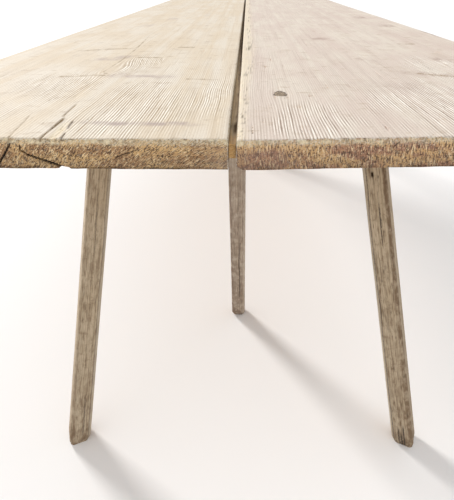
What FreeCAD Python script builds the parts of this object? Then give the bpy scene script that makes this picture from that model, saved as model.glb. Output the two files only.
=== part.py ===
import FreeCAD, Part
import os
from collections import namedtuple

import Sketcher

# Harvest table: two wide planks, kept level by a loose tongue and held together by
# battens in sliding dovetails, laid on a pair of three-legged trestles.
# Sizes are in millimetres and degrees. X runs across the table, Y along it from the
# near end to the far end, and Z up from the floor under the middle of the table.

DRIVING_SIZES = [
    ("table_height", 750),
    ("table_length", 2700),
    ("plank_thickness", 30),
    ("left_plank_width", 422),
    ("right_plank_width", 471),
    ("plank_gap", 7),
    ("arris_radius", 3),
    # How far each plank's ends stand back from the table's full length.
    ("left_near_skew", 9),
    ("left_far_skew", 6),
    ("right_near_setback", 7),
    ("right_near_skew", 44),
    ("right_far_setback", 4),
    ("right_far_skew", 12),
    # Loose tongue: its web fills the gap between the planks, and its wings lie in grooves that
    # stop short of the planks' ends.
    ("tongue_web_height", 14),
    ("tongue_wing_thickness", 10),
    ("groove_depth", 12),
    ("groove_stop", 60),
    ("tongue_setback", 1),
    ("tongue_fit", 0.2),
    # Cross battens, wedge-shaped in section where they slide into the planks.
    ("batten_neck_width", 56),
    ("batten_flare", 5),
    ("batten_housing", 8),
    ("batten_drop", 34),
    ("batten_chamfer", 6),
    ("batten_end_gap", 4),
    ("batten_fit", 0.2),
    ("peg_diameter", 12),
    ("peg_bite", 8),
    ("peg_proud", 3),
    ("peg_fit", 0.15),
    # Cross beam of a trestle, and the free play between it and the end batten.
    ("beam_length", 800),
    ("beam_width", 100),
    ("beam_height", 110),
    ("beam_chamfer", 9),
    ("beam_setback", 448),
    ("trestle_play", 60),
    # Legs: how far in from the beam's end each one's axis crosses the beam's middle, and how
    # far its foot then stands to the side and towards the table's end or its middle.
    ("left_head_inset", 122),
    ("left_foot_flare", 91),
    ("left_foot_fore", 229),
    ("right_head_inset", 185),
    ("right_foot_flare", 141),
    ("right_foot_fore", 206),
    ("inner_foot_side", 20),
    ("inner_foot_aft", 217),
    ("inner_head_side", 29),
    ("outer_foot_width", 45),
    ("outer_head_width", 44),
    ("outer_leg_twist", 24),
    ("inner_foot_width", 39),
    ("inner_head_width", 37),
    ("leg_chamfer", 5.5),
    ("foot_bevel", 3),
    ("foot_bevel_height", 12),
    # Round tenons through the beam, each split by a wedge driven from above.
    ("tenon_diameter", 30),
    ("tenon_recess", 1),
    ("tenon_fit", 0.2),
    ("wedge_length", 44),
    ("wedge_thickness", 7),
    ("wedge_tip", 2),
    ("wedge_fit", 0.15),
    ("kerf_spare", 5),
]

# Places that several pieces share.
UNDERSIDE = "(sizes.table_height - sizes.plank_thickness)"
TABLE_WIDTH = "(sizes.left_plank_width + sizes.plank_gap + sizes.right_plank_width)"
LEFT_EDGE = f"(-{TABLE_WIDTH} / 2)"
RIGHT_EDGE = f"({TABLE_WIDTH} / 2)"
LEFT_INNER = f"({LEFT_EDGE} + sizes.left_plank_width)"
RIGHT_INNER = f"({RIGHT_EDGE} - sizes.right_plank_width)"
NEAR_END = "(-sizes.table_length / 2)"
FAR_END = "(sizes.table_length / 2)"
TONGUE_NEAR = f"({NEAR_END} + sizes.left_near_skew + sizes.tongue_setback)"
TONGUE_FAR = f"({FAR_END} - sizes.right_far_setback - sizes.tongue_setback)"
TONGUE_MIDDLE = f"({UNDERSIDE} + (sizes.batten_housing + sizes.plank_thickness) / 2)"
BATTEN_FOOT = f"({UNDERSIDE} - sizes.batten_drop)"
BEAM_FOOT = f"({UNDERSIDE} - sizes.beam_height)"
BEAM_MIDDLE = f"({UNDERSIDE} - sizes.beam_height / 2)"
END_BATTEN_SETBACK = (
    "(sizes.beam_setback - sizes.beam_width / 2 - sizes.trestle_play - sizes.batten_neck_width / 2)"
)

LEFT_HEAD = "(sizes.beam_length / 2 - sizes.left_head_inset)"
RIGHT_HEAD = "(sizes.beam_length / 2 - sizes.right_head_inset)"

Leg = namedtuple("Leg", "side foot_x foot_y head_x foot_width head_width twist")
Trestle = namedtuple("Trestle", "end y turn sides")

# One trestle's legs, seen from the table's end: the trestles are alike and face each other.
LEGS = [
    Leg(
        "left", f"-({LEFT_HEAD} + sizes.left_foot_flare)", "-sizes.left_foot_fore", f"-{LEFT_HEAD}",
        "sizes.outer_foot_width", "sizes.outer_head_width", "sizes.outer_leg_twist",
    ),
    Leg(
        "right", f"({RIGHT_HEAD} + sizes.right_foot_flare)", "-sizes.right_foot_fore", RIGHT_HEAD,
        "sizes.outer_foot_width", "sizes.outer_head_width", "-sizes.outer_leg_twist",
    ),
    Leg(
        "inner", "-sizes.inner_foot_side", "sizes.inner_foot_aft", "-sizes.inner_head_side",
        "sizes.inner_foot_width", "sizes.inner_head_width", "0",
    ),
]
TRESTLES = [
    Trestle(
        "near", f"({NEAR_END} + sizes.beam_setback)", 0,
        {"left": "left", "right": "right", "inner": "inner"},
    ),
    Trestle(
        "far", f"({FAR_END} - sizes.beam_setback)", 180,
        {"left": "right", "right": "left", "inner": "inner"},
    ),
]
BATTENS = [
    ("near", f"({NEAR_END} + {END_BATTEN_SETBACK})"),
    ("middle", "0"),
    ("far", f"({FAR_END} - {END_BATTEN_SETBACK})"),
]

doc = FreeCAD.newDocument("harvest_table")
nodes = []


def make_sheet():
    """Write the driving sizes into the sheet, one named cell each."""
    sheet = doc.addObject("Spreadsheet::Sheet", "sizes")
    for row, (alias, value) in enumerate(DRIVING_SIZES, start=1):
        sheet.set(f"A{row}", alias)
        sheet.set(f"B{row}", str(value))
        sheet.setAlias(f"B{row}", alias)
    doc.recompute()


def add(kind, label, **expressions):
    """Add an object whose named properties follow the given expressions."""
    piece = doc.addObject(kind, label)
    piece.Label = label
    for name, expression in expressions.items():
        piece.setExpression(name, expression)
    return piece


def place(x, y, z):
    """Expression for a placement that only shifts."""
    return f"placement(vector({x}; {y}; {z}); rotation(vector(0; 0; 1); 0))"


def box(label, low, high):
    """Box between two opposite corners, each given as three expressions."""
    spans = [f"{top} - {bottom}" for bottom, top in zip(low, high)]
    return add(
        "Part::Box", label,
        Length=spans[0], Width=spans[1], Height=spans[2], Placement=place(*low),
    )


def fuse(label, pieces):
    """Union of several pieces."""
    union = add("Part::MultiFuse", label)
    union.Shapes = pieces
    return union


def boolean(kind, label, base, tool):
    """Cut or common of two pieces."""
    result = add(kind, label)
    result.Base = base
    result.Tool = tool
    return result


def as_node(piece):
    """Keep a finished piece for writing out."""
    nodes.append(piece)
    return piece


def polygon(body, label, role, corners, lift="0"):
    """Closed sketch through the corners, on one of the body's own planes or lifted off it."""
    sketch = body.newObject("Sketcher::SketchObject", label)
    plane = next(item for item in body.Origin.OriginFeatures if item.Role == role)
    sketch.AttachmentSupport = [(plane, "")]
    sketch.MapMode = "FlatFace"
    sketch.setExpression("AttachmentOffset.Base.z", lift)
    points = [
        FreeCAD.Vector(body.evalExpression(across), body.evalExpression(along), 0)
        for across, along in corners
    ]
    count = len(points)
    for index, point in enumerate(points):
        sketch.addGeometry(Part.LineSegment(point, points[(index + 1) % count]), False)
    for index, point in enumerate(points):
        sketch.addConstraint(Sketcher.Constraint("Coincident", index, 2, (index + 1) % count, 1))
        across, along = corners[index]
        for kind, value, expression in (("DistanceX", point.x, across), ("DistanceY", point.y, along)):
            number = sketch.addConstraint(Sketcher.Constraint(kind, -1, 1, index, 1, value))
            sketch.setExpression(f"Constraints[{number}]", expression)
    return sketch


def prism(label, role, corners, length, placement, symmetric=True):
    """Polygon carried along its normal, from the sketch plane or to both sides of it."""
    body = add("PartDesign::Body", label, Placement=placement)
    pad = body.newObject("PartDesign::Pad", f"{label}_pad")
    pad.Profile = polygon(body, f"{label}_outline", role, corners)
    pad.SideType = "Symmetric" if symmetric else "One side"
    pad.setExpression("Length", length)
    return body


def chamfered_rectangle(half_width, half_height, chamfer):
    """Corners of a centred rectangle with all four corners cut off."""
    inner_x = f"({half_width} - {chamfer})"
    inner_y = f"({half_height} - {chamfer})"
    quarter = [(inner_x, f"({half_height})"), (f"({half_width})", inner_y)]
    corners = [(x, f"-{y}") for x, y in quarter]
    corners += [(x, y) for x, y in reversed(quarter)]
    corners += [(f"-{x}", y) for x, y in quarter]
    corners += [(f"-{x}", f"-{y}") for x, y in reversed(quarter)]
    return corners


def plank(label, corners, cutters):
    """Plank with a worn arris round its top face, grooved and housed by the cutters."""
    body = prism(
        f"{label}_board", "XY_Plane", corners, "sizes.plank_thickness",
        place("0", "0", UNDERSIDE), symmetric=False,
    )
    doc.recompute()
    board = body.Tip
    top = board.Shape.BoundBox.ZMax
    rim = [
        f"Edge{number}"
        for number, edge in enumerate(board.Shape.Edges, start=1)
        if all(abs(vertex.Z - top) < Part.Precision.confusion() for vertex in edge.Vertexes)
    ]
    arris = body.newObject("PartDesign::Fillet", f"{label}_arris")
    arris.Base = (board, rim)
    arris.setExpression("Radius", "sizes.arris_radius")
    body.Tip = arris
    return as_node(boolean("Part::Cut", label, body, cutters))


def mirrored(right):
    """Closed outline from its right half, listed upwards."""
    return right + [(f"-{x}", y) for x, y in reversed(right)]


def dovetail(fit):
    """Right half of a batten's wedge-shaped head above the planks' underside, grown by the fit."""
    neck = f"(sizes.batten_neck_width / 2 + {fit})"
    flare = f"(sizes.batten_neck_width / 2 + sizes.batten_flare + {fit})"
    return [(neck, "0"), (flare, f"(sizes.batten_housing + {fit})")]


def batten_outline():
    """Section of a batten: the dovetail above and a chamfered bar hanging below."""
    neck = "(sizes.batten_neck_width / 2)"
    bar = [
        (f"({neck} - sizes.batten_chamfer)", "-sizes.batten_drop"),
        (neck, "(-sizes.batten_drop + sizes.batten_chamfer)"),
    ]
    return mirrored(bar + dovetail("0"))


def housing_outline():
    """Section of the slot that a batten slides into, open below the planks."""
    head = dovetail("sizes.batten_fit")
    mouth = (head[0][0], "-sizes.batten_drop")
    return mirrored([mouth] + head)


def make_battens():
    """Three pegged battens; returns what they take out of the planks."""
    peg_columns = [
        f"({LEFT_EDGE} + sizes.left_plank_width / 2)",
        f"({RIGHT_EDGE} - sizes.right_plank_width / 2)",
    ]
    peg_height = "(sizes.peg_proud + sizes.batten_drop + sizes.batten_housing + sizes.peg_bite)"
    peg_foot = f"({BATTEN_FOOT} - sizes.peg_proud)"
    cutters = []
    for end, y in BATTENS:
        holes = []
        pegs = []
        for number, x in enumerate(peg_columns, start=1):
            pegs.append(add(
                "Part::Cylinder", f"{end}_peg_{number}",
                Radius="sizes.peg_diameter / 2", Height=peg_height, Placement=place(x, y, peg_foot),
            ))
            holes.append(add(
                "Part::Cylinder", f"{end}_peg_hole_{number}",
                Radius="sizes.peg_diameter / 2 + sizes.peg_fit",
                Height=f"{peg_height} + sizes.peg_fit", Placement=place(x, y, peg_foot),
            ))
        group = as_node(add("Part::Compound", f"{end}_batten_pegs"))
        group.Links = pegs
        bar = prism(
            f"{end}_batten_bar", "YZ_Plane", batten_outline(),
            f"{TABLE_WIDTH} - 2 * sizes.batten_end_gap", place("0", y, UNDERSIDE),
        )
        as_node(boolean("Part::Cut", f"{end}_batten", bar, fuse(f"{end}_bar_holes", holes)))
        housing = prism(
            f"{end}_housing", "YZ_Plane", housing_outline(),
            f"{TABLE_WIDTH} + 2 * sizes.batten_end_gap", place("0", y, UNDERSIDE),
        )
        cutters += [housing] + holes
    return cutters


def tongue_bar(label, reach, stop, half_height):
    """Bar along the gap that reaches into both planks and stops short of the tongue's ends."""
    return box(
        label,
        (f"({LEFT_INNER} - ({reach}))", f"({TONGUE_NEAR} + {stop})", f"({TONGUE_MIDDLE} - {half_height})"),
        (f"({RIGHT_INNER} + ({reach}))", f"({TONGUE_FAR} - {stop})", f"({TONGUE_MIDDLE} + {half_height})"),
    )


def make_tongue():
    """Tongue with its web and wings; returns what the wings take out of the planks."""
    half_wing = "(sizes.tongue_wing_thickness / 2)"
    as_node(fuse("loose_tongue", [
        tongue_bar("tongue_web", "-sizes.tongue_fit", "0", "(sizes.tongue_web_height / 2)"),
        tongue_bar("tongue_wings", "sizes.groove_depth - sizes.tongue_fit", "sizes.groove_stop", half_wing),
    ]))
    return tongue_bar(
        "tongue_grooves", "sizes.groove_depth", "(sizes.groove_stop - sizes.tongue_fit)",
        f"({half_wing} + sizes.tongue_fit)",
    )


def make_top():
    """Planks, the tongue between them and the battens under them."""
    all_cutters = fuse("plank_cutters", make_battens() + [make_tongue()])
    plank("left_plank", [
        (LEFT_EDGE, NEAR_END),
        (LEFT_INNER, f"({NEAR_END} + sizes.left_near_skew)"),
        (LEFT_INNER, FAR_END),
        (LEFT_EDGE, f"({FAR_END} - sizes.left_far_skew)"),
    ], all_cutters)
    plank("right_plank", [
        (RIGHT_INNER, f"({NEAR_END} + sizes.right_near_setback)"),
        (RIGHT_EDGE, f"({NEAR_END} + sizes.right_near_setback + sizes.right_near_skew)"),
        (RIGHT_EDGE, f"({FAR_END} - sizes.right_far_setback - sizes.right_far_skew)"),
        (RIGHT_INNER, f"({FAR_END} - sizes.right_far_setback)"),
    ], all_cutters)


def leg_run(leg):
    """Expressions for how far a leg travels in X and Y from its foot to the beam's middle."""
    return f"({leg.head_x} - ({leg.foot_x}))", f"(-({leg.foot_y}))"


def leg_length(leg):
    """Expression for the length of a leg's axis from the floor to the beam's middle."""
    run_x, run_y = leg_run(leg)
    return f"hypot({run_x}; {run_y}; {BEAM_MIDDLE})"


def leg_place(trestle, leg, twist):
    """Placement with its origin at the leg's foot and Z along the leg."""
    run_x, run_y = leg_run(leg)
    lean = f"atan2(hypot({run_x}; {run_y}); {BEAM_MIDDLE})"
    stand = f"placement(vector(0; {trestle.y}; 0); rotation(vector(0; 0; 1); {trestle.turn}))"
    turn = f"rotation(vector(-{run_y}; {run_x}; 0); {lean}) * rotation(vector(0; 0; 1); {twist})"
    return f"{stand} * placement(vector({leg.foot_x}; {leg.foot_y}; 0); {turn})"


def leg_stock(label, leg, placement):
    """Chamfered square stock from below the floor to the beam's middle, bevelled at the foot."""
    below = "sizes.foot_bevel_height"
    stations = [
        (f"({leg.foot_width} / 2 - 2 * sizes.foot_bevel)", f"-{below}"),
        (f"({leg.foot_width} / 2)", below),
        (f"({leg.head_width} / 2)", leg_length(leg)),
    ]
    body = add("PartDesign::Body", f"{label}_stock", Placement=placement)
    sections = [
        polygon(
            body, f"{label}_section_{number}", "XY_Plane",
            chamfered_rectangle(half, half, "sizes.leg_chamfer"), lift,
        )
        for number, (half, lift) in enumerate(stations, start=1)
    ]
    loft = body.newObject("PartDesign::AdditiveLoft", f"{label}_loft")
    loft.Profile = sections[0]
    loft.Sections = sections[1:]
    loft.Ruled = True
    return body


def wedge_taper(leg, fit):
    """Right half of a wedge along the leg's axis, from its tip to past the beam's top face."""
    head = f"({leg_length(leg)} * {UNDERSIDE} / {BEAM_MIDDLE})"
    spare = "sizes.tenon_diameter"
    gain = f"((sizes.wedge_thickness - sizes.wedge_tip) / 2 * {spare} / sizes.wedge_length)"
    return [
        (f"(sizes.wedge_tip / 2 - {fit})", f"({head} - sizes.wedge_length)"),
        (f"(sizes.wedge_thickness / 2 - {fit} + {gain})", f"({head} + {spare})"),
    ]


def wedge_bar(label, leg, placement):
    """Bar that the wedge is trimmed from, thinner than its slot by the fit."""
    outline = mirrored(wedge_taper(leg, "sizes.wedge_fit"))
    return prism(label, "XZ_Plane", outline, "2 * sizes.tenon_diameter", placement)


def kerf_bar(label, leg, placement):
    """What the wedge's slot takes out of the tenon: its taper and the saw cut below it."""
    taper = wedge_taper(leg, "0")
    half_tip, tip = taper[0]
    saw_cut = (half_tip, f"({tip} - sizes.kerf_spare)")
    outline = mirrored([saw_cut] + taper)
    return prism(label, "XZ_Plane", outline, "2 * sizes.tenon_diameter", placement)


def make_trestle(trestle):
    """Beam with three staked legs, each tenon split by its wedge."""
    reach = "sizes.table_length"
    shaft_zone = box(
        f"{trestle.end}_shaft_zone",
        (f"(-{reach})", f"({trestle.y} - {reach})", "0"),
        (f"({reach})", f"({trestle.y} + {reach})", BEAM_FOOT),
    )
    tenon_zone = box(
        f"{trestle.end}_tenon_zone",
        (f"(-{reach})", f"({trestle.y} - {reach})", f"({BEAM_FOOT} - sizes.tenon_diameter / 2)"),
        (f"({reach})", f"({trestle.y} + {reach})", f"({UNDERSIDE} - sizes.tenon_recess)"),
    )
    mortises = []
    for leg in LEGS:
        label = f"{trestle.end}_{trestle.sides[leg.side]}_leg"
        straight = leg_place(trestle, leg, "0")
        twisted = leg_place(trestle, leg, leg.twist)
        rod_length = f"2 * {leg_length(leg)}"
        stock = leg_stock(label, leg, twisted)
        shaft = boolean("Part::Common", f"{label}_shaft", stock, shaft_zone)
        rod = add(
            "Part::Cylinder", f"{label}_rod",
            Radius="sizes.tenon_diameter / 2", Height=rod_length, Placement=straight,
        )
        tenon = boolean("Part::Common", f"{label}_tenon", rod, tenon_zone)
        kerf = kerf_bar(f"{label}_kerf", leg, straight)
        blank = fuse(f"{label}_blank", [shaft, tenon])
        as_node(boolean("Part::Cut", label, blank, kerf))
        bar = wedge_bar(f"{label}_wedge_bar", leg, straight)
        as_node(boolean("Part::Common", f"{label}_wedge", bar, tenon))
        mortises.append(add(
            "Part::Cylinder", f"{label}_mortise",
            Radius="sizes.tenon_diameter / 2 + sizes.tenon_fit", Height=rod_length, Placement=straight,
        ))
    timber = prism(
        f"{trestle.end}_beam_timber", "YZ_Plane",
        chamfered_rectangle("sizes.beam_width / 2", "sizes.beam_height / 2", "sizes.beam_chamfer"),
        "sizes.beam_length", place("0", trestle.y, BEAM_MIDDLE),
    )
    bored = fuse(f"{trestle.end}_mortises", mortises)
    as_node(boolean("Part::Cut", f"{trestle.end}_beam", timber, bored))


def write_nodes():
    """Check every object, then write each finished piece to its own file."""
    doc.recompute()
    failed = [item.Label for item in doc.Objects if {"Invalid", "Error"} & set(item.State)]
    if failed:
        raise RuntimeError(f"objects failed: {failed}")
    unsound = [piece.Label for piece in nodes if piece.Shape.isNull() or not piece.Shape.isValid()]
    if unsound:
        raise RuntimeError(f"shapes are not sound: {unsound}")
    os.makedirs("parts", exist_ok=True)
    for piece in nodes:
        piece.Shape.exportStep(f"parts/{piece.Label}.step")
        volume = piece.Shape.Volume
        print(f"{piece.Label}: {len(piece.Shape.Solids)} solids, {volume:.1f} mm3")


make_sheet()
make_top()
for stand in TRESTLES:
    make_trestle(stand)
write_nodes()
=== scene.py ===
"""Looks of a harvest table: two scrubbed planks laid on a pair of three-legged trestles.

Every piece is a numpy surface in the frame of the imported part, in metres: X runs across the
table, Y along it from the near end to the far end, and Z up from the floor.
"""

import logging
import math
from dataclasses import dataclass, replace
from enum import Enum
from functools import cache

import bpy
import numpy as np
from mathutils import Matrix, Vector


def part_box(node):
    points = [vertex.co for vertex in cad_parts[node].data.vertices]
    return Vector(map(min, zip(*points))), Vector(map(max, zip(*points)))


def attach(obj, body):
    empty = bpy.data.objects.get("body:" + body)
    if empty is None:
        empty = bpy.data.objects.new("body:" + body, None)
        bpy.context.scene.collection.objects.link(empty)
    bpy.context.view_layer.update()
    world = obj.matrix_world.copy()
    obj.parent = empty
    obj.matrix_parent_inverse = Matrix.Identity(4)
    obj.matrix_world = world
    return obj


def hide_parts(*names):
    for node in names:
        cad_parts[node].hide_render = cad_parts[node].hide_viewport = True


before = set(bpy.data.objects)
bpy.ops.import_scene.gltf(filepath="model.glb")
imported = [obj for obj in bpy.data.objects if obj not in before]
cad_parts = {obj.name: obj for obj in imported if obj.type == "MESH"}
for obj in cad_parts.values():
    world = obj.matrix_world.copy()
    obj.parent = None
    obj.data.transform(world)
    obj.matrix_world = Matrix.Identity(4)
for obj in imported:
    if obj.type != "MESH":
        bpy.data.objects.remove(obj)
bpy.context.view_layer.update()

MM = 0.001
SHARP_ANGLE = math.radians(50)
# Cells of the noise lattice before it repeats. Round a leg it has fewer, so that it meets itself.
LATTICE = 256
LEG_CELLS = 24
# What is added to a near leg's seed for its fellow in the far trestle.
FAR_SEEDS = 100
# Distances, in half widths, past which a plank's crack or a leg's split leaves no mark.
FAR_FROM_CRACK = 60.0
FAR_FROM_SPLIT = 8.0
# Sizes of the smaller rings that close a bar's end, and how many of its rings are raw wood.
CAP_SHARES = (0.75, 0.4, 0.12)
RAW_RINGS = 4

Array = np.ndarray
Marks = dict[str, Array]
Triple = tuple[float, float, float]
Colour = Triple
Point = tuple[float, float]
Piece = bpy.types.Object
Socket = bpy.types.NodeSocket

log = logging.getLogger("harvest_table")


class Body(Enum):
    """The bodies that move on their own."""

    NEAR = "near_trestle"
    FAR = "far_trestle"
    TOP = "top"


class End(Enum):
    """The two ends of the table, with the way each one faces along Y."""

    NEAR = -1
    FAR = 1


class SmoothNoise:
    """Repeatable noise between -1 and 1: random lattice values, eased between neighbours."""

    def __init__(self, seed: int, cells: int = LATTICE) -> None:
        """Draws the lattice, which repeats after so many cells in its first direction."""
        self.values = np.random.default_rng(seed).uniform(-1.0, 1.0, (cells, LATTICE))

    def at(self, u: Array, v: Array) -> Array:
        """Noise at places on the lattice: bilinear mix of four values with a cubic ease.

        Args:
            u: first coordinates, one unit per lattice cell.
            v: second coordinates, of a shape that goes with the first.

        Returns:
            Noise values of the joint shape.
        """
        u, v = np.broadcast_arrays(np.asarray(u, float), np.asarray(v, float))
        iu, iv = np.floor(u).astype(int), np.floor(v).astype(int)
        fu, fv = u - iu, v - iv
        fu, fv = fu * fu * (3 - 2 * fu), fv * fv * (3 - 2 * fv)
        wide, high = self.values.shape
        a, b = iu % wide, (iu + 1) % wide
        c, d = iv % high, (iv + 1) % high
        first = self.values[a, c] * (1 - fu) + self.values[b, c] * fu
        second = self.values[a, d] * (1 - fu) + self.values[b, d] * fu
        return first * (1 - fv) + second * fv

    def rough(self, u: Array, v: Array, octaves: int = 3) -> Array:
        """Sum of octaves, each twice as fine and half as strong as the one before."""
        total = sum(self.at(u * 2**k, v * 2**k) / 2**k for k in range(octaves))
        return total / (2 - 2 ** (1 - octaves))


def ease(low: float, high: float, value: Array) -> Array:
    """Cubic step from 0 at low to 1 at high, which may lie below low."""
    share = np.clip((value - low) / (high - low), 0.0, 1.0)
    return share * share * (3 - 2 * share)


def rounding(radius: Array, gap: Array) -> Array:
    """How far a rounded arris lies below its face, at a distance from the edge."""
    inside = np.clip(radius - gap, 0.0, radius)
    return radius - np.sqrt(radius**2 - inside**2)


def line_distance(x: Array, y: Array, corners: tuple[Point, ...]) -> tuple[Array, Array, Array]:
    """Distance from places to a bent line: the least of the distances to its straight runs.

    Args:
        x: first coordinates of the places.
        y: second coordinates of the places.
        corners: the line's corners.

    Returns:
        The distances, how far along the line the nearest spot lies, from 0 to 1, and the side
        of the line that the place is on, 1 or -1.
    """
    nearest = np.full(np.broadcast(x, y).shape, np.inf)
    along, side = np.zeros_like(nearest), np.ones_like(nearest)
    runs = len(corners) - 1
    for number, ((ax, ay), (bx, by)) in enumerate(zip(corners, corners[1:])):
        dx, dy = bx - ax, by - ay
        share = np.clip(((x - ax) * dx + (y - ay) * dy) / (dx * dx + dy * dy), 0.0, 1.0)
        gap = np.hypot(x - ax - share * dx, y - ay - share * dy)
        closer = gap < nearest
        along = np.where(closer, (number + share) / runs, along)
        side = np.where(closer, np.where(dx * (y - ay) < dy * (x - ax), -1.0, 1.0), side)
        nearest = np.minimum(nearest, gap)
    return nearest, along, side


def put_mesh(name: str, places: Array, faces: list[Array], marks: Marks) -> Piece:
    """Makes a smooth-shaded object from whole arrays, sharp where faces meet at over 50 degrees.

    Args:
        name: the piece's name.
        places: vertices, one row each.
        faces: vertex numbers, one row for each face, with an array for each number of corners.
        marks: per-vertex numbers or vectors for the materials, by attribute name.

    Returns:
        The new object, linked into the scene.
    """
    loops = np.concatenate([rows.ravel() for rows in faces])
    sizes = np.concatenate([np.full(len(rows), rows.shape[1]) for rows in faces])
    mesh = bpy.data.meshes.new(name)
    mesh.vertices.add(len(places))
    mesh.vertices.foreach_set("co", places.astype(np.float32).ravel())
    mesh.loops.add(len(loops))
    mesh.loops.foreach_set("vertex_index", loops.astype(np.int32))
    mesh.polygons.add(len(sizes))
    starts = np.concatenate(([0], np.cumsum(sizes)[:-1]))
    mesh.polygons.foreach_set("loop_start", starts.astype(np.int32))
    mesh.update(calc_edges=True)
    mesh.polygons.foreach_set("use_smooth", np.ones(len(sizes), bool))
    mesh.set_sharp_from_angle(angle=SHARP_ANGLE)
    for mark, values in marks.items():
        vector = values.ndim == 2
        attribute = mesh.attributes.new(mark, "FLOAT_VECTOR" if vector else "FLOAT", "POINT")
        attribute.data.foreach_set("vector" if vector else "value", values.astype(np.float32).ravel())
    piece = bpy.data.objects.new(name, mesh)
    bpy.context.scene.collection.objects.link(piece)
    return piece


def grid_faces(index: Array) -> Array:
    """Four-cornered faces of a grid of vertex numbers, turned the way its rows then columns run."""
    corners = (index[:-1, :-1], index[:-1, 1:], index[1:, 1:], index[1:, :-1])
    return np.stack(corners, axis=-1).reshape(-1, 4)


def sweep_faces(stations: int, around: int) -> tuple[Array, Array]:
    """Faces of a closed skin through rings of points, each end closed by a fan about its middle.

    The two middles follow the rings' own points.

    Args:
        stations: how many rings there are.
        around: points in each ring.

    Returns:
        Faces of four corners, and faces of three.
    """
    count = stations * around
    index = np.arange(count).reshape(stations, around)
    first, last = index[0], index[-1]
    middles = np.full((2, around), count)
    middles[1] += 1
    near_fan = np.stack((middles[0], np.roll(first, -1), first), axis=-1)
    far_fan = np.stack((middles[1], last, np.roll(last, -1)), axis=-1)
    skin = grid_faces(np.concatenate((index, index[:, :1]), axis=1))
    return skin, np.concatenate((near_fan, far_fan))


def facing_out(places: Array, quads: Array, fans: Array) -> tuple[Array, Array]:
    """Faces turned outwards: all are reversed if the closed skin's volume comes out below zero.

    The volume is a sum over triangles, each with the pyramid between it and the origin.

    Args:
        places: the skin's points.
        quads: its faces of four corners.
        fans: its faces of three.

    Returns:
        Both sets of faces.
    """
    triangles = np.concatenate((quads[:, :3], quads[:, [0, 2, 3]], fans))
    first, second, third = (places[triangles[:, corner]] for corner in range(3))
    if np.sum(first * np.cross(second, third)) < 0.0:
        return quads[:, ::-1], fans[:, ::-1]
    return quads, fans


def with_middles(values: Array) -> Array:
    """One row for each point of the rings, then one for the middle of each end."""
    flat = values.reshape(-1, *values.shape[2:])
    return np.concatenate((flat, values[:1].mean(1), values[-1:].mean(1)))


def put_sweeps(name: str, rings: list[Array], marks: list[Marks]) -> Piece:
    """One object of closed skins, each through its rings of points.

    Args:
        name: the piece's name.
        rings: for each skin, places by station, place round the ring, and coordinate.
        marks: for each skin, numbers or vectors by attribute name, in the same layout.

    Returns:
        The new object.
    """
    quads, fans, places = [], [], []
    for skin in rings:
        start = sum(map(len, places))
        points = with_middles(skin)
        four, three = facing_out(points, *sweep_faces(*skin.shape[:2]))
        quads.append(start + four)
        fans.append(start + three)
        places.append(points)
    faces = [np.concatenate(quads), np.concatenate(fans)]
    spread = {key: np.concatenate([with_middles(skin[key]) for skin in marks]) for key in marks[0]}
    return put_mesh(name, np.concatenate(places), faces, spread)


def evenly(corners: list[Point], pitch: float) -> Array:
    """Points at even steps along each straight side of a closed outline, corners kept.

    Args:
        corners: the outline's corners in order.
        pitch: the widest step.

    Returns:
        One row of two coordinates per point.
    """
    rows = []
    for start, stop in zip(corners, corners[1:] + corners[:1]):
        steps = max(1, math.ceil(math.dist(start, stop) / pitch))
        share = np.arange(steps)[:, None] / steps
        rows.append(np.array(start) * (1 - share) + np.array(stop) * share)
    return np.concatenate(rows)


def clockwise(count: int) -> Array:
    """Angles of even steps round a circle, falling from 0."""
    return -np.linspace(0.0, 2 * math.pi, count + 1)[:-1]


def close_ended(low: float, high: float, start: Array, count: int) -> Array:
    """Places along a bar, in one column: even steps, with a few close ones at each end."""
    even = np.linspace(low, high, count)[1:-1]
    return np.concatenate((low + start, even, high - start[::-1]))[:, None]


def outwards(points: Array, middle: Array) -> Array:
    """Unit vectors from a section's middle to its points."""
    away = points - middle
    return away / np.linalg.norm(away, axis=1, keepdims=True)


def along_x(x: Array, sections: Array) -> Array:
    """Rings of a bar along X: each section with its place."""
    return np.concatenate((np.broadcast_to(x, sections.shape[:2])[..., None], sections), axis=-1)


def cut_out(piece: Piece, cutters: list[Piece]) -> None:
    """Takes the cutters' shapes out of a piece and removes the cutters.

    Args:
        piece: the closed mesh to cut.
        cutters: closed meshes that reach into it.
    """
    for cutter in cutters:
        cut = piece.modifiers.new(cutter.name, "BOOLEAN")
        cut.operation = "DIFFERENCE"
        cut.solver = "EXACT"
        cut.object = cutter
    depsgraph = bpy.context.evaluated_depsgraph_get()
    solid = bpy.data.meshes.new_from_object(piece.evaluated_get(depsgraph))
    piece.modifiers.clear()
    blank, piece.data = piece.data, solid
    solid.name = piece.name
    bpy.data.meshes.remove(blank)
    for cutter in cutters:
        bpy.data.objects.remove(cutter)


@dataclass(frozen=True)
class Layer:
    """Cloudy noise that lets a second colour through.

    It begins to at the first level, and does so by its whole share from the second level on.
    The stretch is the number of clouds to the metre along each axis.
    """

    stretch: Triple
    levels: Point
    share: float = 1.0
    shift: Triple = (0.0, 0.0, 0.0)
    detail: float = 3.0


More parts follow.
